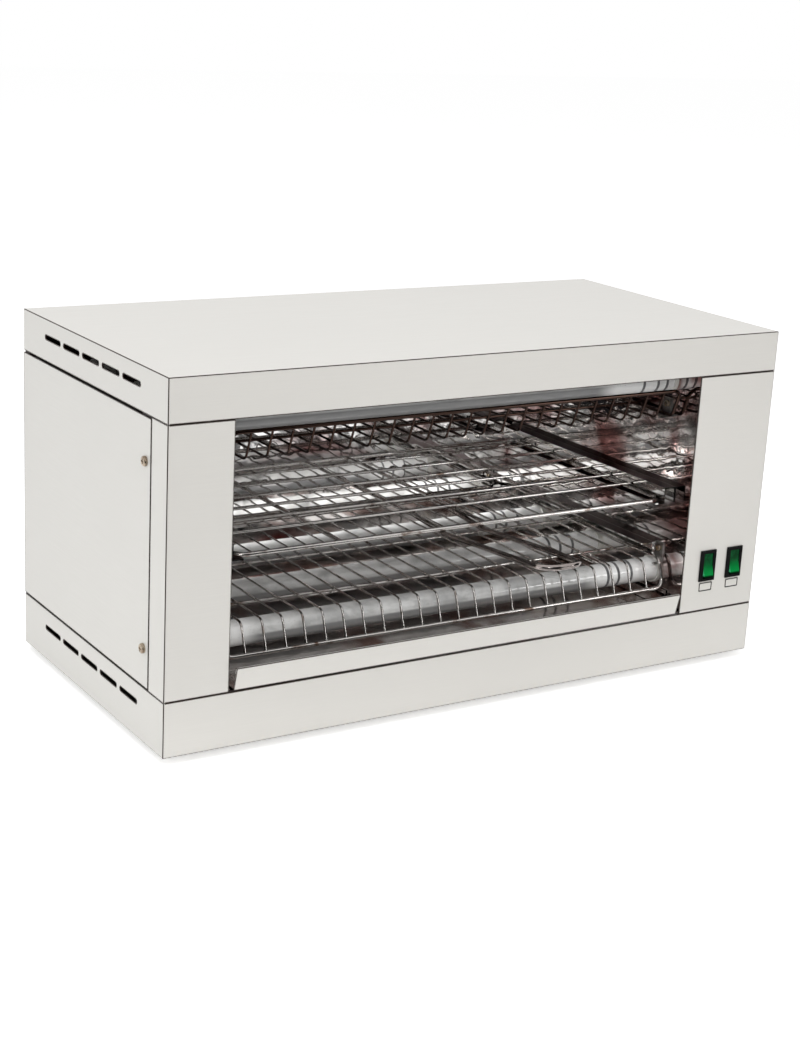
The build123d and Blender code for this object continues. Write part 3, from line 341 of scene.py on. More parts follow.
def make_clouds():
    """Large cloudy patches: a soft mask and the raw height."""
    group, start, end = start_group(
        "Cloudy patches",
        (
            STRETCH, ("Size", NUMBER, 12.0),
            ("Edge Low", NUMBER, 0.45), ("Edge High", NUMBER, 0.65),
        ),
        (("Mask", NUMBER), ("Height", NUMBER)),
    )
    cloud = add_node(group, "ShaderNodeTexNoise", Detail=4.0, Roughness=0.55, Distortion=0.4)
    group.links.new(stretched_place(group, start), cloud.inputs["Vector"])
    group.links.new(start.outputs["Size"], cloud.inputs["Scale"])
    mask = spread(group, cloud.outputs["Fac"], start.outputs["Edge Low"], start.outputs["Edge High"])
    group.links.new(mask, end.inputs["Mask"])
    group.links.new(cloud.outputs["Fac"], end.inputs["Height"])
    return group


def make_edges():
    """A mask that is 1 along sharp edges, from the difference of the rounded and the true normal."""
    group, start, end = start_group(
        "Worked edges", (("Width", NUMBER, 0.0005),), (("Mask", NUMBER),)
    )
    flat_likeness = 0.997
    edge_likeness = 0.98
    rounded = group.nodes.new("ShaderNodeBevel")
    rounded.samples = 8
    group.links.new(start.outputs["Width"], rounded.inputs["Radius"])
    true_one = group.nodes.new("ShaderNodeNewGeometry")
    alike = group.nodes.new("ShaderNodeVectorMath")
    alike.operation = "DOT_PRODUCT"
    group.links.new(rounded.outputs["Normal"], alike.inputs[0])
    group.links.new(true_one.outputs["Normal"], alike.inputs[1])
    mask = spread(group, alike.outputs["Value"], flat_likeness, edge_likeness)
    group.links.new(mask, end.inputs["Mask"])
    return group


def make_specks():
    """Small round specks: a mask that is 1 on a speck."""
    group, start, end = start_group(
        "Small specks",
        (
            STRETCH, ("Fineness", NUMBER, 400.0),
            ("Reach", NUMBER, 0.2),
        ),
        (("Mask", NUMBER),),
    )
    cells = group.nodes.new("ShaderNodeTexVoronoi")
    group.links.new(stretched_place(group, start), cells.inputs["Vector"])
    group.links.new(start.outputs["Fineness"], cells.inputs["Scale"])
    mask = spread(group, cells.outputs["Distance"], start.outputs["Reach"], 0.0)
    group.links.new(mask, end.inputs["Mask"])
    return group


def place_group(tree, name, maker, values):
    """Places the named node group, made at its first use, in a material with its own values."""
    made = tree.nodes.new("ShaderNodeGroup")
    made.node_tree = bpy.data.node_groups.get(name) or maker()
    for title, value in values.items():
        made.inputs[title.replace("_", " ")].default_value = value
    return made.outputs


def grain(tree, **values):
    """Places the rolled grain."""
    return place_group(tree, "Rolled grain", make_grain, values)


def clouds(tree, **values):
    """Places the cloudy patches."""
    return place_group(tree, "Cloudy patches", make_clouds, values)


def edges(tree, **values):
    """Places the mask of worked edges."""
    return place_group(tree, "Worked edges", make_edges, values)


def specks(tree, **values):
    """Places the mask of small specks."""
    return place_group(tree, "Small specks", make_specks, values)


def new_finish(name, **sockets):
    """A material with one Principled shader; the sockets named take fixed numbers or colours."""
    finish = bpy.data.materials.new(name)
    finish.use_nodes = True
    shader = finish.node_tree.nodes["Principled BSDF"]
    for title, value in sockets.items():
        socket = shader.inputs[title.replace("_", " ")]
        socket.default_value = value if isinstance(value, float) else (*value, 1.0)
    return finish, finish.node_tree, shader


def join_surface(tree, shader, colour, roughness):
    """Feeds the shader's colour and roughness."""
    tree.links.new(colour, shader.inputs["Base Color"])
    tree.links.new(roughness, shader.inputs["Roughness"])


def add_bump(tree, shader, height, depth, strength=1.0):
    """Feeds the shader's Normal from a Bump node."""
    bump = add_node(tree, "ShaderNodeBump", Strength=strength, Distance=depth)
    tree.links.new(height, bump.inputs["Height"])
    tree.links.new(bump.outputs["Normal"], shader.inputs["Normal"])


def dress(names, finish):
    """Gives CAD nodes their finish."""
    for name in names:
        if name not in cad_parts:
            raise RuntimeError(f"there is no node {name}")
        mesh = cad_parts[name].data
        mesh.materials.clear()
        mesh.materials.append(finish)


# Meshes


def new_object(name, bm, finish):
    """Makes an object of a bmesh, which is used up."""
    mesh = bpy.data.meshes.new(name)
    bm.to_mesh(mesh)
    bm.free()
    mesh.materials.append(finish)
    made = bpy.data.objects.new(name, mesh)
    bpy.context.scene.collection.objects.link(made)
    return made


def keep_piece(name, bm, finish, body):
    """Makes a piece of a bmesh, which rides on a body."""
    piece = new_object(name, bm, finish)
    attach(piece, body)


def join_rings(bm, rings):
    """Joins rings of equally many points into a closed loop of faces, the last ring to the first."""
    rows = [[bm.verts.new(point) for point in ring] for ring in rings]
    for row, following in zip(rows, rows[1:] + rows[:1]):
        count = len(row)
        for index in range(count):
            after = (index + 1) % count
            face = bm.faces.new((row[index], row[after], following[after], following[index]))
            face.smooth = True


def add_band(bm, centre, radius, rise, width, steps=48):
    """A thin rounded band round a tube that lies along X."""
    section = ((-0.5, -0.2), (-0.38, 1.0), (0.38, 1.0), (0.5, -0.2))
    rings = []
    for along, out in section:
        ring = []
        for index in range(steps):
            angle = 2 * math.pi * index / steps
            reach = radius + rise * out
            ring.append(centre + Vector((width * along, reach * math.cos(angle), reach * math.sin(angle))))
        rings.append(ring)
    join_rings(bm, rings)


def rounded_rectangle(width, height, radius, steps=6):
    """Points of a rounded rectangle about 0, in order."""
    points = []
    for corner, (sign_x, sign_z) in enumerate(((1, 1), (-1, 1), (-1, -1), (1, -1))):
        centre_x = sign_x * (width / 2 - radius)
        centre_z = sign_z * (height / 2 - radius)
        for step in range(steps + 1):
            angle = math.pi / 2 * (corner + step / steps)
            points.append((centre_x + radius * math.cos(angle), centre_z + radius * math.sin(angle)))
    return points


# Operators


class TOASTER_OT_stage(bpy.types.Operator):
    """Sets up the camera, the lamps, the floor and the cards that bright metal reflects"""

    bl_idname = "toaster.stage"
    bl_label = "Studio stage"

    sensor_width = 36.0
    weaker = 0.7
    floor_size = 12.0
    floor_glow = 0.42
    patch_heights = (0.40, 0.60)
    unlit_patch = (0.046, 0.046, 0.046)

    def execute(self, context):
        look = context.scene.toaster_stage
        context.scene.view_settings.view_transform = "Standard"
        self.place_camera(context, look)
        self.light_room(context, look)
        self.hang_lamps(look)
        self.lay_floor(look)
        self.hang_cards(look)
        return {"FINISHED"}

    def hang_lamps(self, look):
        """Hangs the lamps; reflections show only the glint lamps."""
        weak_cavity = self.weaker * look.cavity_lamp
        weak_glint = self.weaker * look.glint_lamp
        middle = (0.0, 0.0, 0.12)
        forward = (-0.01, -1.0, 0.06)
        # A round lamp has one size, and a strip has its width and its height.
        for name, power, sizes, place, target, colour in (
            ("top_lamp", look.top_lamp, (1.6,), (-0.35, -0.30, 1.70), middle, (0.975, 0.985, 1.0)),
            ("front_lamp", look.front_lamp, (1.3,), (-0.75, -1.90, 1.10), middle, (1.0, 0.975, 0.93)),
            ("side_lamp", look.side_lamp, (1.2,), (-1.90, -0.20, 0.90), middle, (0.90, 0.97, 1.0)),
            ("cavity_lamp_rear", look.cavity_lamp, (0.31, 0.05), (-0.01, 0.085, 0.095), forward, WHITE),
            ("cavity_lamp_top", weak_cavity, (0.31, 0.02), (-0.01, 0.095, 0.185), forward, WHITE),
            ("glint_left", look.glint_lamp, (0.35,), (-1.30, -1.60, 0.95), middle, WHITE),
            ("glint_right", weak_glint, (0.30,), (1.20, -1.50, 0.55), middle, WHITE),
        ):
            lamp = self.place_lamp(name, power, sizes, place, target)
            lamp.data.color = colour
            lamp.visible_glossy = name.startswith("glint")

    def place_camera(self, context, look):
        """Places the photo's camera."""
        data = bpy.data.cameras.new("camera")
        data.sensor_width = self.sensor_width
        data.lens = look.camera_lens
        camera = bpy.data.objects.new("camera", data)
        camera.location = look.camera_place
        camera.rotation_euler = look.camera_turn
        context.scene.collection.objects.link(camera)
        context.scene.camera = camera

    def light_room(self, context, look):
        """Makes a backdrop that looks white and lights the object more weakly."""
        world = bpy.data.worlds.new("studio")
        world.use_nodes = True
        tree = world.node_tree
        background = tree.nodes["Background"]
        background.inputs["Color"].default_value = (*look.backdrop, 1.0)
        seen = any_ray(tree, "Is Camera Ray", "Is Glossy Ray", "Is Transmission Ray")
        strength = between(tree, seen, look.room_light, 1.0)
        tree.links.new(strength, background.inputs["Strength"])
        context.scene.world = world

    def place_lamp(self, name, power, sizes, place, target):
        """Places one lamp that points at the target."""
        data = bpy.data.lights.new(name, "AREA")
        data.shape = "DISK"
        data.size = sizes[0]
        if len(sizes) == 2:
            data.shape = "RECTANGLE"
            data.size_y = sizes[1]
        data.energy = power
        lamp = bpy.data.objects.new(name, data)
        lamp.location = place
        lamp.rotation_euler = (Vector(target) - Vector(place)).to_track_quat("-Z", "Y").to_euler()
        bpy.context.scene.collection.objects.link(lamp)
        return lamp

    def flat_sheet(self, name, width, depth, finish):
        """A flat rectangle of the stage, which isn't part of the object."""
        bm = bmesh.new()
        corners = ((-1, -1), (1, -1), (1, 1), (-1, 1))
        bm.faces.new([bm.verts.new((width / 2 * x, depth / 2 * y, 0.0)) for x, y in corners])
        sheet = new_object(name, bm, finish)
        return sheet

    def lay_floor(self, look):
        """Lays a floor under the feet, which glows only where the camera or a reflection shows it."""
        finish, tree, shader = new_finish(
            "studio floor", Base_Color=look.floor, Roughness=0.9, Specular_IOR_Level=0.0,
            Emission_Color=WHITE,
        )
        glow = add_math(tree, "MULTIPLY", any_ray(tree, "Is Camera Ray", "Is Glossy Ray"), self.floor_glow)
        tree.links.new(glow, shader.inputs["Emission Strength"])
        floor = self.flat_sheet("studio_floor", self.floor_size, self.floor_size, finish)
        floor.location = (0.0, 0.0, CAD_BOX[0][2])

    def card_finishes(self, look):
        """A dark, a glowing and a patchily glowing finish."""
        dark, _, _ = new_finish(
            "dark card", Base_Color=look.dark_card, Roughness=1.0, Specular_IOR_Level=0.0
        )
        glowing = {"Base_Color": BLACK, "Roughness": 1.0, "Emission_Strength": look.bright_card}
        bright, _, _ = new_finish("bright card", Emission_Color=WHITE, **glowing)
        patched, tree, shader = new_finish("patched card", **glowing)
        patches = clouds(tree, Stretch=(1.0, 0.5, 1.0), Size=60.0)
        lit = spread(tree, patches["Height"], *self.patch_heights)
        shade = blend_colours(tree, lit, self.unlit_patch, WHITE)
        tree.links.new(shade, shader.inputs["Emission Color"])
        return dark, bright, patched

    def hang_cards(self, look):
        """Hangs cards that only reflections show."""
        dark, bright, patched = self.card_finishes(look)
        flat = (0.0, 0.0, 0.0)
        turned = (0.0, 0.0, 0.2)
        upright = (QUARTER_TURN, 0.0, 0.0)
        sideways = (QUARTER_TURN, 0.0, QUARTER_TURN)
        for name, width, depth, place, turn, finish in (
            ("dark_card_front", 4.4, 2.2, (1.20, -2.6, 1.1), upright, dark),
            ("dark_card_front_low", 2.2, 0.9, (-2.10, -2.6, 0.45), upright, dark),
            ("dark_card_left", 1.9, 1.6, (-2.6, -1.65, 0.8), sideways, dark),
            ("dark_card_right", 2.6, 2.2, (3.0, -1.30, 1.1), sideways, dark),
            ("dark_card_low", 6.0, 2.4, (0.0, -1.45, -0.003), flat, dark),
            ("bright_card_low", 0.50, 0.50, (0.42, -0.60, -0.002), turned, bright),
            ("patched_card_low", 1.00, 0.22, (0.25, -0.27, -0.001), flat, patched),
            ("bright_card_right", 0.50, 1.20, (1.45, -2.2, 1.25), upright, bright),
        ):
            card = self.flat_sheet(name, width, depth, finish)
            card.location = place
            card.rotation_euler = turn
            card.visible_camera = False
            card.visible_diffuse = False
            card.visible_shadow = False
            card.visible_transmission = False


class TOASTER_OT_casing(bpy.types.Operator):
    """Gives the casing panels their satin steel, with painted shade along folds and cut edges and on the
    inner faces
    """

    bl_idname = "toaster.casing"
    bl_label = "Steel casing"

    grain_depth = 0.00002
    grain_roughness = (0.03, -0.02)
    on_fold = (1.2, 1.8)
    off_fold = (1.9, 1.1)

    def execute(self, context):
        look = context.scene.toaster_casing
        for names, stretch, title in (
            (SIDE_PANELS, (1.0, 0.02, 1.0), "satin steel, side"),
            (LONG_PANELS, (0.02, 1.0, 1.0), "satin steel, along"),
        ):
            finish, tree, shader = new_finish(title, Metallic=look.metal, Specular_IOR_Level=0.35)
            patches = clouds(tree, Size=7.0, Edge_Low=0.42, Edge_High=0.66)
            lines = grain(tree, Stretch=stretch, Fineness=1400.0)
            colour = blend_colours(tree, patches["Mask"], look.steel, look.steel_shade)
            satin = blend_colours(tree, lines["Tone"], look.steel_shade, colour)
            # Painted shade: faces deeper than the skin take the dark inner colour, so seams and slots look
            # dark.
            outside = spread(tree, self.faces_near(tree, look.skin), 0.0, 1.0)
            colour = blend_colours(tree, outside, look.inner_painted_shade, satin)
            # Painted shade: dark lines along folds and cut edges stand in for the shade in the seams.
            colour = blend_colours(tree, self.painted_seam_shade(tree, look), colour, look.seam_shade)
            ends = [look.roughness + change for change in self.grain_roughness]
            rough = between(tree, lines["Tone"], *ends)
            join_surface(tree, shader, colour, rough)
            add_bump(tree, shader, lines["Height"], self.grain_depth)
            dress(names, finish)
        return {"FINISHED"}

    def painted_seam_shade(self, tree, look):
        """A mask of painted seam shade along cut edges and folds; two outer faces are near at a fold, and
        one elsewhere outside.
        """
        rims = edges(tree, Width=look.edge_width)
        away_from_folds = spread(tree, self.faces_near(tree, look.edge_width), *self.off_fold)
        edge_shade = add_math(tree, "MULTIPLY", rims["Mask"], away_from_folds)
        folds = spread(tree, self.faces_near(tree, look.fold_width), *self.on_fold)
        return add_math(tree, "MAXIMUM", edge_shade, folds)

    def faces_near(self, tree, depth):
        """How many of the casing's outer faces lie nearer than the depth."""
        place = place_axes(tree)
        panels = [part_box(name) for name in CASING_PANELS]
        count = 0.0
        for axis, title in enumerate("XYZ"):
            low = min(box[0][axis] for box in panels)
            high = max(box[1][axis] for box in panels)
            for face, inner in ((low, low + depth), (high, high - depth)):
                near = spread(tree, place[title], inner, (face + inner) / 2)
                count = add_math(tree, "ADD", near, count)
        return count


class TOASTER_OT_lining(bpy.types.Operator):
    """Gives the lining of the toasting space its polished steel, and the rails their browned steel"""

    bl_idname = "toaster.lining"
    bl_label = "Mirror lining"

    wave_depth = 0.0007
    hot_share = 0.9
    hot_above = (0.078, 0.095)
    wall_reach = 0.002
    hot_waves = (0.36, 0.52)
    smoke_heights = (0.45, 0.75)
    smoke_roughness = 0.06
    facing_up = (0.3, 0.7)
    rail_roughness = (0.03, 0.30)
    browned_pale = (0.085, 0.040, 0.034)
    dull_rail = (0.50, 0.48, 0.46)
    rail_edge = (0.62, 0.60, 0.57)

    def execute(self, context):
        look = context.scene.toaster_lining
        self.polish_lining(look)
        self.brown_rails(look)
        return {"FINISHED"}

    def polish_lining(self, look):
        """The lining is a mirror with smoke, heat stains and slow waves."""
        finish, tree, shader = new_finish("polished lining", Metallic=1.0)
        stains = clouds(tree, Stretch=(0.6, 1.0, 1.6), Size=16.0, Edge_Low=0.50, Edge_High=0.72)
        smoke = clouds(tree, Stretch=(1.0, 1.0, 1.3), Size=31.0, Edge_Low=0.52, Edge_High=0.74)
        waves = clouds(tree, Stretch=(0.7, 1.0, 1.0), Size=11.0)
        colour = blend_colours(tree, smoke["Mask"], look.mirror, look.soot)
        hot = add_math(tree, "MAXIMUM", stains["Mask"], self.hot_wall(tree, waves["Height"]))
        colour = blend_colours(tree, hot, colour, look.heat_tint)
        dull = look.roughness + self.smoke_roughness
        rough = spread(tree, smoke["Height"], *self.smoke_heights, look.roughness, dull)
        join_surface(tree, shader, colour, rough)
        add_bump(tree, shader, waves["Height"], self.wave_depth, look.ripple)
        dress(MIRROR_LINING, finish)

    def hot_wall(self, tree, waves):
        """A mask of the heat stains on the right wall."""
        place = place_axes(tree)
        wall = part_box("right_mirror_wall")[0].x
        mask = spread(tree, place["X"], wall - self.wall_reach, wall, 0.0, self.hot_share)
        mask = add_math(tree, "MULTIPLY", mask, spread(tree, place["Z"], *self.hot_above))
        return add_math(tree, "MULTIPLY", mask, spread(tree, waves, *self.hot_waves))

    def brown_rails(self, look):
        """The rails are bright below and browned on top."""
        finish, tree, shader = new_finish("folded rail steel", Metallic=1.0)
        smoke = clouds(tree, Size=40.0, Edge_Low=0.40, Edge_High=0.70)
        rims = edges(tree, Width=0.0004)
        top = spread(tree, facing_axes(tree)["Z"], *self.facing_up)
        browned = blend_colours(tree, smoke["Mask"], look.browned_top, self.browned_pale)
        colour = blend_colours(tree, smoke["Mask"], look.mirror, self.dull_rail)
        colour = blend_colours(tree, top, colour, browned)
        colour = blend_colours(tree, rims["Mask"], colour, self.rail_edge)
        join_surface(tree, shader, colour, between(tree, top, *self.rail_roughness))
        dress(RACK_RAILS, finish)


class TOASTER_OT_wirework(bpy.types.Operator):
    """Gives the guards, the rack and its handle their plating"""

    bl_idname = "toaster.wirework"
    bl_label = "Wire guards, rack and handle"

    scorch_fade = 0.004
    stain_heights = (0.35, 0.75)
    stained_roughness = 0.10

    def execute(self, context):
        look = context.scene.toaster_wire
        self.plate(look, "plated wire", THIN_WIREWORK, look.plating)
        self.plate(look, "thick handle wire", HANDLE_WIRE, look.handle)
        return {"FINISHED"}

    def plate(self, look, title, names, plating):
        """Plates wires in a colour, with baked on stains, and scorches what lies high up."""
        finish, tree, shader = new_finish(title, Metallic=1.0)
        stains = clouds(tree, Size=70.0, Edge_Low=0.56, Edge_High=0.74)
        dots = specks(tree, Fineness=900.0, Reach=0.22)
        colour = blend_colours(tree, stains["Mask"], plating, look.baked)
        colour = blend_colours(tree, dots["Mask"], colour, look.baked)
        guard_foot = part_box("upper_guard")[0].z
        scorched = spread(tree, place_axes(tree)["Z"], guard_foot - self.scorch_fade, guard_foot)
        colour = blend_colours(tree, scorched, colour, look.scorched)
        dull = look.roughness + self.stained_roughness
        rough = spread(tree, stains["Height"], *self.stain_heights, look.roughness, dull)
        join_surface(tree, shader, colour, rough)
        dress(names, finish)


class TOASTER_OT_tubes(bpy.types.Operator):
    """Gives the quartz tubes, their coils and the ceramics a finish, and adds the bands at the tube ends"""

    bl_idname = "toaster.tubes"
    bl_label = "Quartz tubes"

    facing_down = (0.12, -0.08)
    end_fade = 0.02
    row_fade = 0.01
    quartz_streak = (0.37, 0.37, 0.365)
    quartz_fleck = (0.16, 0.16, 0.165)
    quartz_roughness = (0.28, 0.42)
    coil = (0.22, 0.20, 0.18)
    coil_scale = (0.09, 0.075, 0.065)
    coil_roughness = (0.35, 0.6)
    ceramic_dust = (0.60, 0.585, 0.55)
    ceramic_rim = (0.90, 0.885, 0.85)
    ceramic_roughness = (0.52, 0.68)
    band_worn = (0.26, 0.26, 0.26)
    band_roughness = (0.3, 0.5)
    band_places = {"lower": (0.116, 0.125, 0.136), "upper": (0.1325, 0.1444, 0.1522)}

    def execute(self, context):
        look = context.scene.toaster_tube
        self.dress_tubes(look)
        self.dress_coils()
        self.dress_ceramics(look)
        self.add_bands(look)
        return {"FINISHED"}

    def dress_tubes(self, look):
        """The quartz is milky, streaked and flecked, with painted shade below, and clearer ends painted
        near white that are partly a painted highlight.
        """
        finish, tree, shader = new_finish("milky quartz", Coat_Weight=0.9, Coat_Roughness=0.02)
        streaks = clouds(tree, Stretch=(0.6, 1.0, 1.0), Size=75.0, Edge_Low=0.42, Edge_High=0.66)
        dots = specks(tree, Stretch=(0.6, 1.0, 1.0), Fineness=650.0, Reach=0.16)
        # Painted shade: faces that point down get the greyer quartz colour.
        under = spread(tree, facing_axes(tree)["Z"], *self.facing_down)
        upper_side = blend_colours(tree, streaks["Mask"], look.quartz, self.quartz_streak)
        colour = blend_colours(tree, under, upper_side, look.quartz_painted_shade)
        colour = blend_colours(tree, self.clear_end_highlights(tree, look), colour, look.quartz_clear_end_highlight)
        colour = blend_colours(tree, dots["Mask"], colour, self.quartz_fleck)
        join_surface(tree, shader, colour, with_height(tree, streaks, *self.quartz_roughness))
        dress([f"{place}_quartz_tube" for place in TUBE_PLACES], finish)

    def clear_end_highlights(self, tree, look):
        """A mask of the tubes' clearer ends, which also carry a painted highlight: both ends low down, and
        the right ones high up.
        """
        place = place_axes(tree)
        right_end = spread(tree, place["X"], look.clear_right - self.end_fade, look.clear_right)
        left_end = spread(tree, place["X"], look.clear_left + self.end_fade, look.clear_left)
        upper_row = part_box("upper_front_quartz_tube")[0].z
        lower_row = spread(tree, place["Z"], upper_row, upper_row - self.row_fade)
        left_end = add_math(tree, "MULTIPLY", left_end, lower_row)
        return add_math(tree, "MAXIMUM", right_end, left_end)

    def dress_coils(self):
        """The coils are a dull alloy with dark scale."""
        finish, tree, shader = new_finish("coil alloy", Metallic=1.0)
        scale = clouds(tree, Size=220.0, Edge_Low=0.35, Edge_High=0.70)
        colour = blend_colours(tree, scale["Mask"], self.coil, self.coil_scale)
        join_surface(tree, shader, colour, with_height(tree, scale, *self.coil_roughness))
        dress([f"{place}_heating_coil" for place in TUBE_PLACES], finish)

    def dress_ceramics(self, look):
        """The ceramics are white, with a little dust and paler rims."""
        finish, tree, shader = new_finish("white ceramic")
        dots = specks(tree, Fineness=1500.0, Reach=0.30)
        rims = edges(tree, Width=0.0004)
        dusty = blend_colours(tree, dots["Mask"], look.ceramic, self.ceramic_dust)
        colour = blend_colours(tree, rims["Mask"], dusty, self.ceramic_rim)
        join_surface(tree, shader, colour, between(tree, dots["Mask"], *self.ceramic_roughness))
        dress(CERAMICS, finish)

    def add_bands(self, look):
        """Adds three dark bands round the right end of each tube."""
        finish, tree, shader = new_finish("printed band", Metallic=0.3)
        stains = clouds(tree, Size=400.0)
        colour = blend_colours(tree, stains["Mask"], look.band, self.band_worn)
        join_surface(tree, shader, colour, with_height(tree, stains, *self.band_roughness))
        for level in TUBE_ROWS:
            bm = bmesh.new()
            for place in TUBES_IN_ROW:
                low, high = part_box(f"{level}_{place}_quartz_tube")
                centre = (low + high) / 2
                radius = (high.z - low.z) / 2
                for x in self.band_places[level]:
                    middle = Vector((x, centre.y, centre.z))
                    add_band(bm, middle, radius, look.band_rise, look.band_width)
            keep_piece(f"{level}_tube_end_bands", bm, finish, "casing")


class TOASTER_OT_tray(bpy.types.Operator):
    """Gives the crumb tray its satin front lip and its polished, stained floor"""

    bl_idname = "toaster.tray"
    bl_label = "Crumb tray"

    lip_full = 0.0035
    lip_end = 0.0045
    stain_heights = (0.35, 0.65)
    floor_roughness = (0.04, 0.17)
    wave_depth = 0.0005
    polished = (0.60, 0.57, 0.55)
    stained = (0.26, 0.135, 0.105)
    crumb = (0.07, 0.045, 0.03)

    def execute(self, context):
        look = context.scene.toaster_casing
        finish, tree, shader = new_finish("tray steel")
        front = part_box("crumb_tray")[0].y
        lip = spread(tree, place_axes(tree)["Y"], front + self.lip_end, front + self.lip_full)
        lines = grain(tree, Stretch=(0.03, 1.0, 1.0), Fineness=1300.0)
        stains = clouds(tree, Size=24.0, Edge_Low=0.42, Edge_High=0.70)
        crumbs = specks(tree, Fineness=260.0, Reach=0.10)
        rims = edges(tree, Width=look.edge_width)
        floor_colour = blend_colours(tree, stains["Mask"], self.polished, self.stained)
        floor_colour = blend_colours(tree, crumbs["Mask"], floor_colour, self.crumb)
        lip_colour = blend_colours(tree, lines["Tone"], look.steel_shade, look.steel)
        colour = blend_colours(tree, lip, floor_colour, lip_colour)
        # Painted shade: the tray's edges take the casing's seam shade, which stands in for the shade in its
        # seams.
        colour = blend_colours(tree, rims["Mask"], colour, look.seam_shade)
        floor_rough = spread(tree, stains["Height"], *self.stain_heights, *self.floor_roughness)
        lip_rough = add_math(tree, "MULTIPLY", lip, look.roughness)
        join_surface(tree, shader, colour, add_math(tree, "MAXIMUM", floor_rough, lip_rough))
        tree.links.new(between(tree, lip, 1.0, look.metal), shader.inputs["Metallic"])
        waves = clouds(tree, Stretch=(0.7, 1.0, 1.0), Size=14.0)
        add_bump(tree, shader, waves["Height"], self.wave_depth)
        dress(("crumb_tray",), finish)
        return {"FINISHED"}


class TOASTER_OT_switches(bpy.types.Operator):
    """Finishes the rockers, the black mouldings and the bare plates, and draws the plates' lines"""

    bl_idname = "toaster.switches"
    bl_label = "Switches"

    pebble_depth = 0.00008
    moulding_pale = (0.007, 0.007, 0.0072)
    # Painted highlight: the moulding's edges are painted a little lighter.
    moulding_edge_highlight = (0.012, 0.012, 0.0125)
    moulding_roughness = (0.36, 0.50)
    rocker_haze = (0.003, 0.090, 0.024)
    rocker_end = (0.001, 0.016, 0.005)
    rocker_roughness = (0.12, 0.24)
    facing_left = (-0.3, -0.6)
    clear_start = 0.004
    clear_full = -0.007
    end_start = 0.0027
    end_full = 0.0014
    plate_shade = (0.68, 0.665, 0.625)
    plate_roughness = (0.45, 0.36)
    line_worn = (0.05, 0.048, 0.045)
    line_roughness = (0.45, 0.65)
    line_rise = 0.00005
    outer_corner = 0.0008
    inner_corner = 0.0005

    def execute(self, context):
        look = context.scene.toaster_switch
        self.dress_mouldings(look)
        self.dress_rockers(look)
        self.dress_plates(look)
        self.draw_plate_lines(look)
        return {"FINISHED"}

    def dress_mouldings(self, look):
        """The mouldings are pebbled black plastic, with a painted highlight along their edges."""
        finish, tree, shader = new_finish("black moulding", Specular_IOR_Level=0.05)
        pebbles = grain(tree, Fineness=2600.0)
        rims = edges(tree, Width=0.0004)
        dull = blend_colours(tree, pebbles["Tone"], look.moulding, self.moulding_pale)
        colour = blend_colours(tree, rims["Mask"], dull, self.moulding_edge_highlight)
        join_surface(tree, shader, colour, between(tree, pebbles["Tone"], *self.moulding_roughness))
        add_bump(tree, shader, pebbles["Height"], self.pebble_depth)
        dress(BLACK_MOULDINGS, finish)

    def dress_rockers(self, look):
        """The rockers are dark above and painted lighter below as lit, with a painted highlight on the left
        side and a dark lower end.
        """
        finish, tree, shader = new_finish(
            "green rocker", Coat_Weight=0.03, Coat_Roughness=0.03, Specular_IOR_Level=0.04
        )
        low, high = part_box("left_switch_rocker")
        middle = (low.z + high.z) / 2
        height = place_axes(tree)["Z"]
        clear = spread(tree, height, middle + self.clear_start, middle + self.clear_full)
        lower_half = spread(tree, height, middle, middle + self.clear_full)
        lower_end = spread(tree, height, low.z + self.end_start, low.z + self.end_full)
        flank_highlight = spread(tree, facing_axes(tree)["X"], *self.facing_left)
        flank_highlight = add_math(tree, "MULTIPLY", flank_highlight, lower_half)
        haze = clouds(tree, Size=260.0, Edge_Low=0.35, Edge_High=0.75)
        deep = blend_colours(tree, haze["Mask"], look.rocker_dark, self.rocker_haze)
        # Painted light: the lower part is painted lighter as lit, and the left side gets a painted
        # highlight.
        colour = blend_colours(tree, clear, deep, look.rocker_lit)
        colour = blend_colours(tree, flank_highlight, colour, look.rocker_flank_highlight)
        colour = blend_colours(tree, lower_end, colour, self.rocker_end)
        join_surface(tree, shader, colour, with_height(tree, haze, *self.rocker_roughness))
        dress(ROCKERS, finish)

    def dress_plates(self, look):
        """The plates are bare satin metal."""
        finish, tree, shader = new_finish("bare plate", Metallic=0.15)
        lines = grain(tree, Stretch=(0.05, 1.0, 1.0), Fineness=3000.0)
        colour = blend_colours(tree, lines["Tone"], self.plate_shade, look.plate)
        join_surface(tree, shader, colour, between(tree, lines["Tone"], *self.plate_roughness))
        dress(("switch_label_plates",), finish)

    def draw_plate_lines(self, look):
        """Draws a thin line round each plate, just inside its edge."""
        finish, tree, shader = new_finish("plate line")
        wear = clouds(tree, Size=900.0)
        colour = blend_colours(tree, wear["Mask"], look.plate_line, self.line_worn)
        join_surface(tree, shader, colour, with_height(tree, wear, *self.line_roughness))
        low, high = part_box("switch_label_plates")
        rockers = [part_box(f"{switch}_switch_rocker") for switch in ("left", "right")]
        centres = [(box[0].x + box[1].x) / 2 for box in rockers]
        centre_z = (low.z + high.z) / 2
        # Each plate is centred under its rocker, so the left rocker gives half a plate's width.
        width = 2 * (centres[0] - low.x)
        outer = (width - 2 * look.line_inset, high.z - low.z - 2 * look.line_inset)
        inner = tuple(size - 2 * look.line_width for size in outer)
        back = low.y + self.line_rise
        front = low.y - self.line_rise
        bm = bmesh.new()
        for centre_x in centres:
            rings = []
            for (wide, tall), corner, y in (
                (outer, self.outer_corner, back), (outer, self.outer_corner, front),
                (inner, self.inner_corner, front), (inner, self.inner_corner, back),
            ):
                ring = rounded_rectangle(wide, tall, corner)
                rings.append([Vector((centre_x + x, y, centre_z + z)) for x, z in ring])
            join_rings(bm, rings)
        keep_piece("plate_lines", bm, finish, "casing")


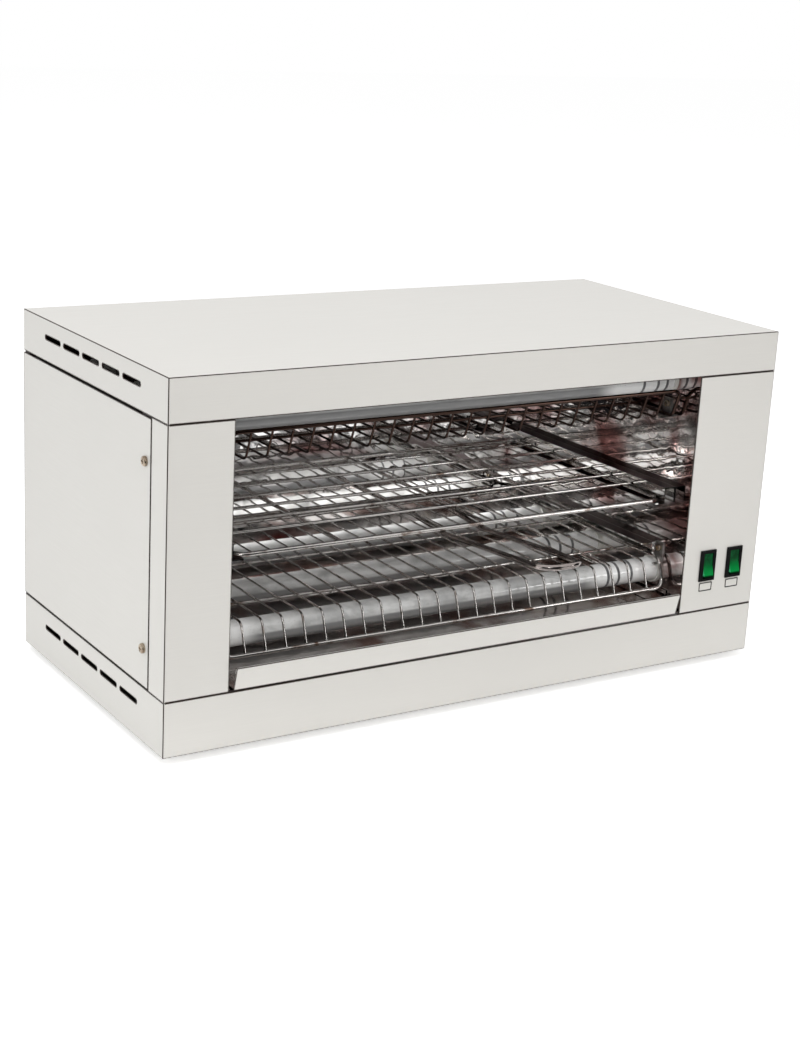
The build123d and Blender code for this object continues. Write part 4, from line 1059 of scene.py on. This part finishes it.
class TOASTER_OT_fasteners(bpy.types.Operator):
    """Gives screws, rivets, clips and brackets their metal"""

    bl_idname = "toaster.fasteners"
    bl_label = "Fasteners and brackets"

    rim_gain = 1.25

    def execute(self, context):
        for title, names, bright, dark, smooth, rough in (
            ("screw steel", SCREWS, (0.42, 0.35, 0.27), (0.16, 0.10, 0.065), 0.14, 0.30),
            ("bracket steel", BRACKETS, (0.44, 0.43, 0.42), (0.22, 0.20, 0.18), 0.30, 0.48),
            ("terminal brass", BRASS_FITTINGS, (0.74, 0.52, 0.22), (0.42, 0.26, 0.10), 0.22, 0.40),
        ):
            finish, tree, shader = new_finish(title, Metallic=1.0)
            stains = clouds(tree, Size=150.0, Edge_Low=0.42, Edge_High=0.72)
            rims = edges(tree, Width=0.0003)
            rim_colour = tuple(min(1.0, self.rim_gain * part) for part in bright)
            colour = blend_colours(tree, stains["Mask"], bright, dark)
            colour = blend_colours(tree, rims["Mask"], colour, rim_colour)
            join_surface(tree, shader, colour, with_height(tree, stains, smooth, rough))
            dress(names, finish)
        return {"FINISHED"}


class TOASTER_OT_feet_and_wiring(bpy.types.Operator):
    """Gives the rubber feet and the inner wiring their finish"""

    bl_idname = "toaster.feet_and_wiring"
    bl_label = "Feet and wiring"

    pebble_depth = 0.00012
    worn_roughness = 0.12

    def execute(self, context):
        for title, names, base, worn, smooth in (
            ("foot rubber", ("rubber_feet",), (0.020, 0.020, 0.021), (0.050, 0.049, 0.047), 0.70),
            ("wire sleeve", ("internal_wires",), (0.46, 0.43, 0.37), (0.60, 0.57, 0.50), 0.55),
        ):
            finish, tree, shader = new_finish(title)
            pebbles = grain(tree, Fineness=1500.0)
            rims = edges(tree, Width=0.0005)
            colour = blend_colours(tree, pebbles["Tone"], base, worn)
            colour = blend_colours(tree, rims["Mask"], colour, worn)
            rough = between(tree, pebbles["Tone"], smooth, smooth + self.worn_roughness)
            join_surface(tree, shader, colour, rough)
            add_bump(tree, shader, pebbles["Height"], self.pebble_depth)
            dress(names, finish)
        return {"FINISHED"}


class TOASTER_PT_panel(bpy.types.Panel):
    """Sizes, colours and steps of the toaster"""

    bl_idname = "TOASTER_PT_panel"
    bl_label = "Toaster"
    bl_space_type = "VIEW_3D"
    bl_region_type = "UI"
    bl_category = "Toaster"

    def draw(self, context):
        for name, group in SETTINGS:
            box = self.layout.box()
            box.label(text=group.__doc__)
            settings = getattr(context.scene, name)
            for entry in group.__annotations__:
                box.prop(settings, entry)
        for step in STEPS:
            self.layout.operator(step.bl_idname)


SETTINGS = (
    ("toaster_casing", CasingFinish),
    ("toaster_lining", LiningFinish),
    ("toaster_wire", WireFinish),
    ("toaster_tube", TubeFinish),
    ("toaster_switch", SwitchFinish),
    ("toaster_stage", StageLook),
)
STEPS = (
    TOASTER_OT_stage,
    TOASTER_OT_casing,
    TOASTER_OT_lining,
    TOASTER_OT_wirework,
    TOASTER_OT_tubes,
    TOASTER_OT_tray,
    TOASTER_OT_switches,
    TOASTER_OT_fasteners,
    TOASTER_OT_feet_and_wiring,
)


def register():
    """Registers the classes and their settings."""
    for name, group in SETTINGS:
        bpy.utils.register_class(group)
        setattr(bpy.types.Scene, name, PointerProperty(type=group))
    for step in STEPS:
        bpy.utils.register_class(step)
    bpy.utils.register_class(TOASTER_PT_panel)


def unregister():
    """Takes the classes and their settings away."""
    bpy.utils.unregister_class(TOASTER_PT_panel)
    for step in reversed(STEPS):
        bpy.utils.unregister_class(step)
    for name, group in reversed(SETTINGS):
        delattr(bpy.types.Scene, name)
        bpy.utils.unregister_class(group)


def main():
    """Registers the add-on and runs each step in order."""
    register()
    for step in STEPS:
        family, action = step.bl_idname.split(".")
        getattr(getattr(bpy.ops, family), action)()


if __name__ == "__main__":
    main()
